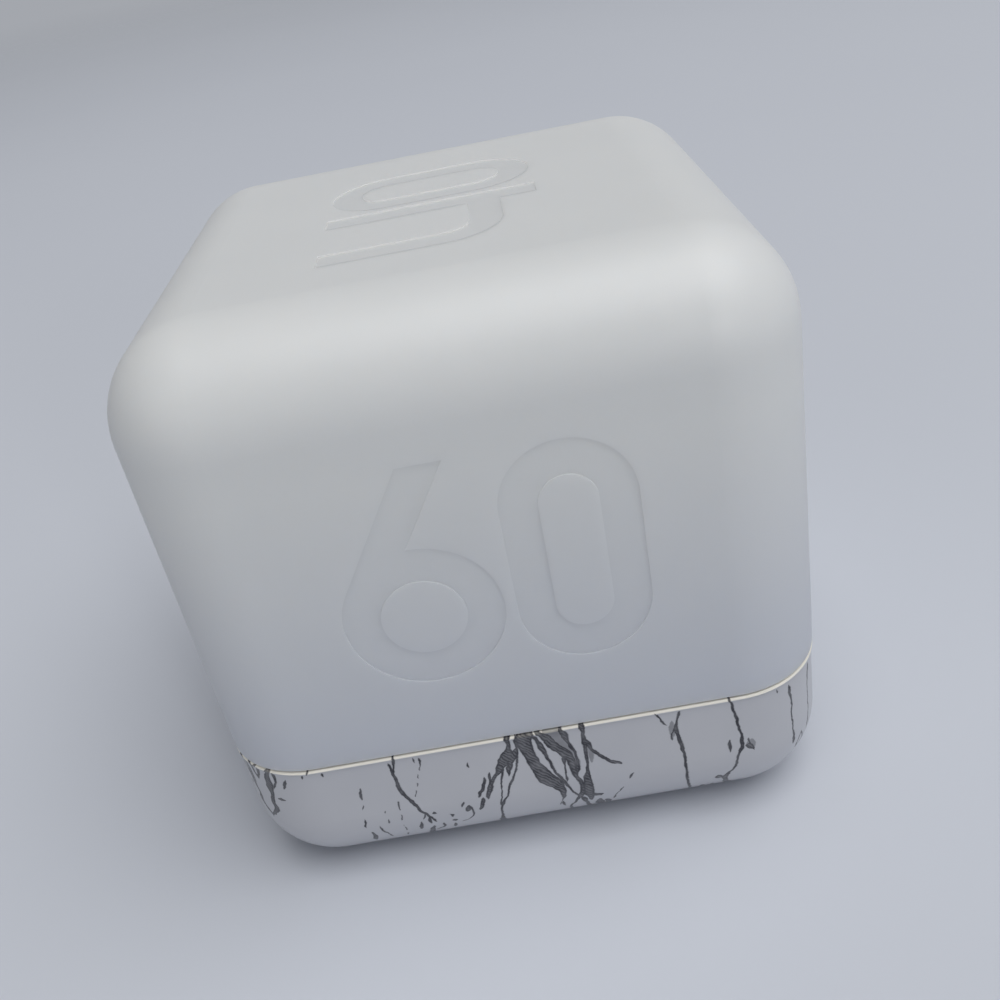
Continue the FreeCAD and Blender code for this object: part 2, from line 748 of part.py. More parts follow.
def plate(name, x, end):
    """A square contact plate that stands against an end wall of the battery bay."""
    inner, outer = BAY_Y, PLATE_Y
    y = (inner, outer) if end > 0 else (f"-{outer}", f"-{inner}")
    return box(name, centred(x, PLATE_HALF), y, centred(CELL_Z, PLATE_HALF))


def tail(name, x, end):
    """The strip that rises from a plate through the roof and the board."""
    y = (BAY_Y, PLATE_Y) if end > 0 else (f"-{PLATE_Y}", f"-{BAY_Y}")
    return box(name, centred(x, "tail_width / 2"), y, (CELL_Z, f"{BOARD_TOP} + pin_reach"))


def button(name, x, end):
    """The pressed dome that a cell's nub meets."""
    start = f"{BAY_Y} - button_height" if end > 0 else f"-{BAY_Y}"
    return rod(name, (x, start, CELL_Z), "button_height", "button_radius", "y")


def spring(label, x, end):
    """A conical coil from its plate to the flat end of a cell.

    Each half turn is an arc tilted about the same cross axis, so it runs tangent into the next.
    """
    wire, halves = mm("spring_wire"), int(mm("spring_half_turns"))
    rise = (mm("spring_room") - mm("button_height") - 2 * wire - 2 * mm("spring_end_gap")) / halves
    shrink = rise * math.tan(math.radians(mm("spring_cone_angle")))
    across = mm("spring_base_radius")
    solids = []
    for step in range(halves):
        side = 1 if step % 2 == 0 else -1
        start = V(side * (across - step * shrink), 0, step * rise)
        far = V(-side * (across - (step + 1) * shrink), 0, (step + 1) * rise)
        radius = start.distanceToPoint(far) / 2
        tilt = math.degrees(math.asin(rise / 2 / radius))
        arc = Part.makeTorus(radius, wire, V(), V(0, 0, 1), -180, 180, 180)
        upright = FreeCAD.Rotation(V(0, 0, 1), 0 if side > 0 else 180)
        arc.Placement = FreeCAD.Placement((start + far) * 0.5,
                                          FreeCAD.Rotation(V(0, 1, 0), side * tilt).multiply(upright))
        solids.append(arc)
    coil = doc.addObject("Part::Feature", label)
    coil.Shape = solids[0].fuse(solids[1:])
    coil.Placement = FreeCAD.Placement(V(), FreeCAD.Rotation(V(1, 0, 0), 90 * end))
    foot = signed(end, f"{BAY_Y} - spring_wire - spring_end_gap")
    bind(coil, {"Placement.Base.x": x, "Placement.Base.y": foot, "Placement.Base.z": CELL_Z})
    node(label, coil)


def contacts():
    """Nickel-plated strips: one pair to the board at the front, one link across the rear."""
    left, right = signed(-1, CELL_X), signed(1, CELL_X)
    node("positive_plate", fuse("positive_plate", [plate("plate", left, -1), tail("tail", left, -1),
                                                   button("button", left, -1)]))
    node("negative_plate", fuse("negative_plate", [plate("plate", right, -1), tail("tail", right, -1)]))
    bridge = box("bridge", centred("0", f"{CELL_X}"), (BAY_Y, PLATE_Y),
                 (CELL_Z, f"{CELL_Z} + {PLATE_HALF}"))
    node("link_plate", fuse("link_plate", [plate("plate_l", left, 1), plate("plate_r", right, 1), bridge,
                                           tail("tail", right, 1), button("button", right, 1)]))
    spring("negative_spring", right, -1)
    spring("link_spring", left, 1)


# ---------------------------------------------------------------- board and what is soldered to it

pins = []


def pin(x, y, low, high):
    """A round lead through the board. Its hole is drilled when the board is made."""
    pins.append((x, y))
    return rod("pin", (x, y, low), f"({high}) - ({low})", "pin_radius")


def leads_down(places):
    """Leads of a part that stands on top of the board."""
    return [pin(x, y, f"{BOARD_LOW} - pin_reach * 0.6", f"{BOARD_TOP} + part_stand + pin_play")
            for x, y in places]


def leads_up(places):
    """Leads of a part that hangs under the board."""
    return [pin(x, y, f"{BOARD_LOW} - pin_radius", f"{BOARD_TOP} + pin_reach") for x, y in places]


def main_board():
    """Glass-fibre board with room for the shell's pillars, the screws, the contact tails and every lead."""
    body = block("main_board_blank", BOARD_HALF, BOARD_LOW, BOARD_TOP, "board_corner")
    holes = plane_sketch(body, "board_holes", BOARD_TOP)
    draw_circles(holes, [(signed(x, POST), signed(y, POST)) for x, y in CORNERS],
                 "pillar_radius + board_play")
    draw_circles(holes, [(signed(x, TOWER_X), signed(y, TOWER_Y)) for x, y in CORNERS],
                 "board_screw_radius + shank_play")
    draw_circles(holes, pins, "pin_radius + pin_play")
    drilling = body.newObject("PartDesign::Pocket", "board_drilling")
    drilling.Profile = holes
    drilling.Type = "ThroughAll"
    drilling.Midplane = True
    doc.recompute()
    slots = []
    for x, y in ((-1, -1), (1, -1), (1, 1)):
        middle = signed(y, f"{BAY_Y} + plate_thickness / 2")
        slots.append(box("tail_way", centred(signed(x, CELL_X), "tail_width / 2 + tail_play"),
                         centred(middle, "plate_thickness / 2 + pin_play"),
                         (f"{BOARD_LOW} - 1", f"{BOARD_TOP} + 1")))
    node("main_board", cut("main_board", body, slots))


def board_screws():
    screws = []
    for x, y in CORNERS:
        place = (signed(x, TOWER_X), signed(y, TOWER_Y))
        head = rod("head", (*place, BOARD_TOP), "board_head_height", "board_head_radius")
        shank = rod("shank", (*place, f"{BOARD_TOP} - board_screw_length"), "board_screw_length",
                    "board_screw_radius")
        high = (f"{BOARD_TOP} + board_head_height / 3", f"{BOARD_TOP} + board_head_height + 1")
        reach, narrow = "board_head_radius * 0.6", "screw_recess * 0.7"
        arms = [box("recess_x", centred(place[0], reach), centred(place[1], narrow), high),
                box("recess_y", centred(place[0], narrow), centred(place[1], reach), high)]
        screws.append(cut("board_screw", fuse("board_screw_blank", [head, shank]), arms))
    node("board_screws", group("board_screws", screws))


def on_grid(column, line):
    """A place on the board, counted in steps of its grid from the middle."""
    return (f"({column}) * board_grid", f"({line}) * board_grid")


def chip():
    """Sixteen-lead microcontroller with gull-wing leads."""
    low, top = f"{BOARD_TOP} + part_stand", f"{BOARD_TOP} + part_stand + chip_height"
    corner = ("-chip_length / 2 + 2 * chip_mark_radius", "-chip_width / 2 + 2 * chip_mark_radius")
    mark = rod("pin_one_mark", (*corner, f"{top} - part_stand"), "chip_height", "chip_mark_radius")
    case = box("chip_body", centred("0", "chip_length / 2"), centred("0", "chip_width / 2"), (low, top))
    node("microcontroller", cut("microcontroller", case, [mark]))
    leads = []
    toe, heel = "(chip_width / 2 + lead_reach)", "(chip_width / 2 + lead_sheet)"
    for step in range(8):
        x = centred(on_grid(step - 3.5, 0)[0], "lead_width / 2")
        for sign in (-1, 1):
            foot = box("foot", x, ordered(sign, heel, toe), (BOARD_TOP, f"{BOARD_TOP} + lead_sheet"))
            rise = box("rise", x, ordered(sign, heel, f"({heel} + lead_sheet)"),
                       (BOARD_TOP, f"{BOARD_TOP} + lead_rise"))
            arm = box("arm", x, ordered(sign, "(chip_width / 2)", f"({heel} + lead_sheet)"),
                      (f"{BOARD_TOP} + lead_rise - lead_sheet", f"{BOARD_TOP} + lead_rise"))
            leads.append(fuse("lead", [foot, rise, arm]))
    node("chip_leads", group("chip_leads", leads))


def crystal():
    """A small round can that lies on the board behind its two leads."""
    x, y = on_grid(-8.5, 4)
    can = rod("crystal_can", (x, y, f"{BOARD_TOP} + part_stand + crystal_radius"), "crystal_length",
              "crystal_radius", "y")
    base = box("crystal_base", centred(x, "crystal_radius"), (f"{y} - crystal_radius", y),
               (BOARD_TOP, f"{BOARD_TOP} + part_stand + 2 * crystal_radius"))
    legs = leads_down([(f"{x} + ({sign}) * board_grid / 2", f"{y} - crystal_radius / 2") for sign in (-1, 1)])
    node("crystal", fuse("crystal", [can, base, *legs]))


def electrolytic_capacitor():
    """A sleeved tin on two leads, which steadies the supply."""
    x, y = on_grid(7.5, -8.3)
    tin = rod("tin", (x, y, f"{BOARD_TOP} + part_stand"), "tin_height", "tin_radius")
    legs = leads_down([(f"{x} - board_grid * 0.8", y), (f"{x} + board_grid * 0.8", y)])
    node("electrolytic_capacitor", fuse("electrolytic_capacitor", [tin, *legs]))


def chips_on(name, places, length, width, height):
    """Small blocks soldered flat on the board, lengthwise along x."""
    return [box(name, centred(x, f"{length} / 2"), centred(y, f"{width} / 2"),
                (BOARD_TOP, f"{BOARD_TOP} + {height}")) for x, y in places]


def surface_parts():
    """Ceramic capacitors, resistors and the transistor that drives the buzzer."""
    places = [on_grid(-6.3, -3.6), on_grid(6, 3.8), on_grid(-11.4, 2.4), on_grid(2.4, -11)]
    capacitors = chips_on("capacitor", places, "ceramic_length", "ceramic_width", "ceramic_height")
    node("ceramic_capacitors", group("ceramic_capacitors", capacitors))
    places = [on_grid(column, 5.5) for column in (-3, -1, 1, 3)] + [on_grid(11.4, 4.4), on_grid(11.4, -4.4)]
    resistors = chips_on("resistor", places, "resistor_width", "resistor_length", "resistor_height")
    node("resistors", group("resistors", resistors))
    x, y = on_grid(9.8, 0)
    case = box("transistor_body", centred(x, "transistor_length / 2"), centred(y, "transistor_width / 2"),
               (f"{BOARD_TOP} + part_stand / 2", f"{BOARD_TOP} + part_stand / 2 + transistor_height"))
    feet = []
    for across, sign in ((-1, -1), (1, -1), (0, 1)):
        middle = f"{x} + ({across}) * (transistor_length / 2 - lead_width)"
        reach = ordered(sign, "(transistor_width / 2 - lead_sheet)", "(transistor_width / 2 + transistor_foot)")
        feet.append(box("transistor_foot", centred(middle, "lead_width / 2"), reach,
                        (BOARD_TOP, f"{BOARD_TOP} + 2 * lead_sheet")))
    node("driver_transistor", fuse("driver_transistor", [case, *feet]))


def signal_lights():
    """Four domed lights on top of the board, which make the translucent shell glow."""
    lights = []
    low = f"{BOARD_TOP} + part_stand"
    for x, y in CORNERS:
        place = (signed(x, "light_across"), signed(y, f"{POST} - light_post_gap"))
        flange = rod("light_flange", (*place, low), "light_flange_height", "light_radius + light_flange")
        stem = rod("light_stem", (*place, low), "light_height - light_radius", "light_radius")
        dome = ball("light_dome", (*place, f"{low} + light_height - light_radius"), "light_radius")
        feet = leads_down([(f"{place[0]} + ({sign}) * light_lead_spacing / 2", place[1]) for sign in (-1, 1)])
        lights.append(fuse("signal_light", [flange, stem, dome, *feet]))
    node("signal_lights", group("signal_lights", lights))


def buzzer():
    """Magnetic sounder that hangs under the board and faces the sound holes."""
    place = (BUZZER_X, "0")
    low, lid = f"({BOARD_LOW} - buzzer_height)", f"({BOARD_LOW} - buzzer_lid)"
    cavity = "(buzzer_radius - buzzer_wall)"
    cup = cut("buzzer_case", rod("buzzer_outside", (*place, low), "buzzer_height - buzzer_lid", "buzzer_radius"),
              [rod("buzzer_inside", (*place, f"{low} + buzzer_wall"), "buzzer_height", cavity),
               rod("buzzer_mouth", (*place, f"{low} - 1"), "buzzer_wall + 2", "buzzer_mouth_radius")])
    node("buzzer_case", cup)
    node("buzzer_diaphragm", rod("buzzer_diaphragm", (*place, f"{low} + buzzer_air"),
                                 "diaphragm_thickness", f"{cavity} - coil_play / 2"))
    ring = f"({low} + buzzer_air + 2 * diaphragm_thickness)"
    magnet_inside = f"({cavity} - coil_play - magnet_thickness)"
    node("buzzer_magnet", cut("buzzer_magnet", rod("magnet_outside", (*place, ring), f"{lid} - {ring}",
                                                   f"{cavity} - coil_play"),
                              [rod("magnet_inside", (*place, f"{ring} - 1"), "buzzer_height", magnet_inside)]))
    coil_low = f"({ring} + 4 * diaphragm_thickness)"
    node("buzzer_coil", cut("buzzer_coil", rod("coil_outside", (*place, coil_low), f"{lid} - {coil_low}",
                                               f"{magnet_inside} - 3 * coil_play"),
                            [rod("coil_inside", (*place, ring), "buzzer_height", "pole_radius + coil_play")]))
    plate_on_top = rod("pole_plate", (*place, lid), "buzzer_lid", "buzzer_radius")
    pole = rod("pole", (*place, f"{ring} + 2 * diaphragm_thickness"), f"{lid} - {ring}", "pole_radius")
    legs = leads_up([(f"{BUZZER_X} + ({sign}) * 2 * board_grid", "0") for sign in (-1, 1)])
    node("buzzer_pole_plate", fuse("buzzer_pole_plate", [plate_on_top, pole, *legs]))
    ring_outside = rod("gasket_outside", (*place, f"{low} - gasket_thickness"), "gasket_thickness",
                       "buzzer_radius - collar_inset")
    ring_inside = rod("gasket_inside", (*place, f"{low} - 2 * gasket_thickness"), "3 * gasket_thickness",
                      "buzzer_radius - collar_inset - collar_thickness")
    node("buzzer_gasket", cut("buzzer_gasket", ring_outside, [ring_inside]))


# ---------------------------------------------------------------- slide switch

def slide_switch():
    """Off, low and high: a pressed can on the board, its lever, and a knob that a finger moves."""
    x = SWITCH_X
    low = f"({BOARD_LOW} - switch_height)"
    half_x, half_y = "switch_width / 2", "switch_length / 2"
    can = box("switch_can", centred(x, half_x), centred("0", half_y), (low, BOARD_LOW))
    cavity = box("switch_cavity", centred(x, f"{half_x} - switch_skin"), centred("0", f"{half_y} - switch_skin"),
                 (f"{low} + switch_skin", f"{BOARD_LOW} - switch_skin"))
    mouth = box("switch_mouth", centred(x, "lever_side / 2 + lever_play"),
                centred("0", "lever_side / 2 + switch_travel + lever_play"), (f"{low} - 1", f"{low} + 1"))
    legs = leads_up([(x, f"{step} * switch_pitch") for step in (-1, 0, 1)])
    node("switch_frame", fuse("switch_frame", [cut("switch_shell", can, [cavity, mouth]), *legs]))
    slider = box("slider", centred(x, f"{half_x} - switch_skin - knob_gap"),
                 centred("0", "slider_length / 2"),
                 (f"{low} + switch_skin + knob_gap", f"{BOARD_LOW} - switch_skin - lever_play"))
    stem = box("lever_stem", centred(x, "lever_side / 2 - lever_play / 2"), centred("0", "lever_side / 2"),
               (f"{low} - lever_drop", f"{low} + 1"))
    node("switch_lever", fuse("switch_lever", [slider, stem]))
    guide_low = "(wall + knob_gap)"
    finger = box("finger", centred(x, "knob_width / 2"), centred("0", "knob_length / 2"),
                 ("knob_sink", f"{guide_low} + guide_thickness / 2"))
    guide = box("guide", centred(x, "guide_width / 2"), centred("0", "guide_length / 2"),
                (guide_low, f"{guide_low} + guide_thickness"))
    stalk = box("stalk", centred(x, "knob_width / 2 - lever_play"), centred("0", "lever_side / 2 + fork_wall"),
                (guide_low, f"{low} - fork_gap"))
    fork = box("fork_gap", centred(x, "knob_width"), centred("0", "lever_side / 2 + lever_play / 4"),
               (f"{low} - lever_drop - fork_gap", f"{low} + 1"))
    ridges = [box("ridge_gap", centred(x, "knob_width"), centred(f"({step}) * ridge_pitch", "ridge_pitch / 4"),
                  ("0", "knob_sink + ridge_depth")) for step in (-1, 0, 1)]
    node("switch_knob", cut("switch_knob", fuse("knob_blank", [finger, guide, stalk]), [fork, *ridges]))


# ---------------------------------------------------------------- tilt switches

def tilt_switch(axis, start):
    """A plated can closed by a header. The ball rolls inside it along the axis."""
    offset = {"x": (1, 0, 0), "y": (0, 1, 0), "z": (0, 0, 1)}[axis]

    def along(distance):
        return tuple(f"{place} + ({step}) * ({distance})" for place, step in zip(start, offset))

    outside = rod("tilt_outside", along("tilt_header"), "tilt_length - tilt_header", "tilt_radius", axis)
    inside = rod("tilt_inside", along("0"), "tilt_length - tilt_skin", "tilt_radius - tilt_skin", axis)
    node(f"tilt_can_{axis}", cut(f"tilt_can_{axis}", outside, [inside]))
    header = rod("tilt_header", along("0"), "tilt_header", "tilt_radius", axis)
    if axis == "z":
        legs = leads_down([(f"{start[0]} + ({sign}) * tilt_lead", start[1]) for sign in (-1, 1)])
    else:
        side = (0, 1) if axis == "x" else (1, 0)
        legs = [pin(f"{start[0]} + ({offset[0]}) * tilt_header / 2 + ({side[0] * sign}) * tilt_lead",
                    f"{start[1]} + ({offset[1]}) * tilt_header / 2 + ({side[1] * sign}) * tilt_lead",
                    f"{BOARD_LOW} - pin_reach * 0.6", f"{BOARD_TOP} + tilt_lead") for sign in (-1, 1)]
    node(f"tilt_header_{axis}", fuse(f"tilt_header_{axis}", [header, *legs]))
    if axis == "z":
        centre = along("tilt_header + ball_gap + ball_radius")
    else:
        sag = "(tilt_radius - tilt_skin - ball_radius - ball_gap)"
        x, y, z = along("(tilt_header + tilt_length - tilt_skin) / 2")
        centre = (x, y, f"{z} - {sag}")
    node(f"tilt_ball_{axis}", ball(f"tilt_ball_{axis}", centre, "ball_radius"))


def tilt_switches():
    lying = f"{BOARD_TOP} + tilt_radius + tilt_rest"
    tilt_switch("x", ("-tilt_length / 2", f"{POST} - board_grid * 3", lying))
    tilt_switch("y", (f"-{BOARD_HALF} + tilt_radius + tilt_edge_gap", "-tilt_length / 2", lying))
    tilt_switch("z", (f"{BUZZER_X} + tilt_lead", "buzzer_radius + pin_radius + tilt_edge_gap",
                      f"{BOARD_TOP} + part_stand"))


# ---------------------------------------------------------------- the timer

upper_shell()
base_cover()
casing_screws()
battery_door()
battery_box()
cell(-1, "cell_left")
cell(1, "cell_right")
contacts()
board_screws()
chip()
crystal()
electrolytic_capacitor()
surface_parts()
signal_lights()
buzzer()
slide_switch()
tilt_switches()
main_board()

doc.recompute()
for item in doc.Objects:
    if "Invalid" in item.State or "Error" in item.State:
        raise SystemExit(f"{item.Label} ({item.Name}) failed: {item.State}")
for piece in nodes:
    if piece.Shape.isNull() or not piece.Shape.isValid():
        raise SystemExit(f"{piece.Label} is not a valid solid")
for piece in nodes:
    piece.Shape.exportStep(f"parts/{piece.Label}.step")
    extent = piece.Shape.BoundBox
    print(f"{piece.Label:24s} solids {len(piece.Shape.Solids):2d}  volume {piece.Shape.Volume:9.1f}  "
          f"z {extent.ZMin:6.2f} .. {extent.ZMax:6.2f}")
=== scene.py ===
import math

import bmesh
import bpy
from mathutils import Matrix, Vector


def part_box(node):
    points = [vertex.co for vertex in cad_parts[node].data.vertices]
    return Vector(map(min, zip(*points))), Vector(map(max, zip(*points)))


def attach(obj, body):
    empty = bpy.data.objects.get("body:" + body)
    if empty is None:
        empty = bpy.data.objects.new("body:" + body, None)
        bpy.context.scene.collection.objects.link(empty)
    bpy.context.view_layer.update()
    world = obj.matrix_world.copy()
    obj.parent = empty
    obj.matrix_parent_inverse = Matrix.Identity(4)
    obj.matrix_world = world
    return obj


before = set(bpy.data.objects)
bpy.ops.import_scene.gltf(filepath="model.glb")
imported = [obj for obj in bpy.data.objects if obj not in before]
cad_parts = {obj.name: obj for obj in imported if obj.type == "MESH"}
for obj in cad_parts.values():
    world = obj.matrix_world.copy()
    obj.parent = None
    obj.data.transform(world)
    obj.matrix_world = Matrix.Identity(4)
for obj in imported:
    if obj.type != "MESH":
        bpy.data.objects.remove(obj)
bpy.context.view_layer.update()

# Turn-over minutes timer: a translucent cap on a printed base that holds the cells, the board, the
# sounder and three tilt switches. The sections follow the order in which it is put together.

# ------------------------------------------------ base cover
# The lower tray of the casing, injection-moulded in white ABS. A marble film is laid on its outside
# by water transfer, so the dark veins wrap the rim, the corners and the turned-in lower edge.


def linear(hex_colour):
    """An sRGB hex colour as linear RGBA."""
    channels = [int(hex_colour[place:place + 2], 16) / 255 for place in (1, 3, 5)]
    return (*[c / 12.92 if c <= 0.04045 else ((c + 0.055) / 1.055) ** 2.4 for c in channels], 1.0)


def add(tree, kind, inputs=None, take=0, **settings):
    """Adds a node. inputs gives a socket, by name or number, its value or the output that feeds it."""
    made = tree.nodes.new(kind)
    for name, value in settings.items():
        setattr(made, name, value)
    for name, value in (inputs or {}).items():
        if isinstance(value, bpy.types.NodeSocket):
            tree.links.new(value, made.inputs[name])
        else:
            made.inputs[name].default_value = value
    return made.outputs[take]


def new_finish(name, **sockets):
    """A material, its node tree, its surface shader, and the place on the object in mm."""
    material = bpy.data.materials.new(name)
    material.use_nodes = True
    tree = material.node_tree
    shader = tree.nodes["Principled BSDF"]
    for socket, value in sockets.items():
        shader.inputs[socket.replace("_", " ")].default_value = value
    place = add(tree, "ShaderNodeTexCoord", take="Object")
    place = add(tree, "ShaderNodeVectorMath", {0: place, "Scale": 1000.0}, operation="SCALE")
    return material, tree, shader, place


def lay(tree, shader, pattern, colours=None, rough=None, relief=None, start=0.3):
    """Lays a pattern over a finish: two colours, two roughnesses, and a bump's strength and height in mm. The
    roughness changes where the pattern goes from start to 0.7."""
    if colours:
        first, second = map(linear, colours)
        colour = add(tree, "ShaderNodeMix", {0: pattern, 6: first, 7: second}, take=2, data_type="RGBA")
        tree.links.new(colour, shader.inputs["Base Color"])
    if rough:
        spread = add(tree, "ShaderNodeMapRange", {"Value": pattern, "From Min": start, "From Max": 0.7,
                                                  "To Min": rough[0], "To Max": rough[1]})
        tree.links.new(spread, shader.inputs["Roughness"])
    if relief:
        bump = add(tree, "ShaderNodeBump", {"Strength": relief[0], "Distance": relief[1] / 1000,
                                            "Height": pattern})
        tree.links.new(bump, shader.inputs["Normal"])


def wear_finish(material, *names):
    """Gives CAD nodes this finish."""
    for name in names:
        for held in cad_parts[name].material_slots:
            held.material = material


EDGE = 60.0                 # the cube's edge, mm
CORNER = 9.2                # radius of the cube's edges
FLAT = EDGE / 2 - CORNER    # from a face's middle to where its corner starts
FILM_RADIUS = 9.05          # radius of the base's outside
RIM = 16.3                  # height of the base's rim
HATCH = 0.22                # pitch of the fine lines that fill a broad vein
FOOT = 2.5                  # a vein that ends lower runs on under the foot
TAPER, FOOT_TAPER = 0.3, 2.8    # how far a vein tapers off past its end, and past an end under the foot
GONE = -0.15                # half width where a vein has tapered off

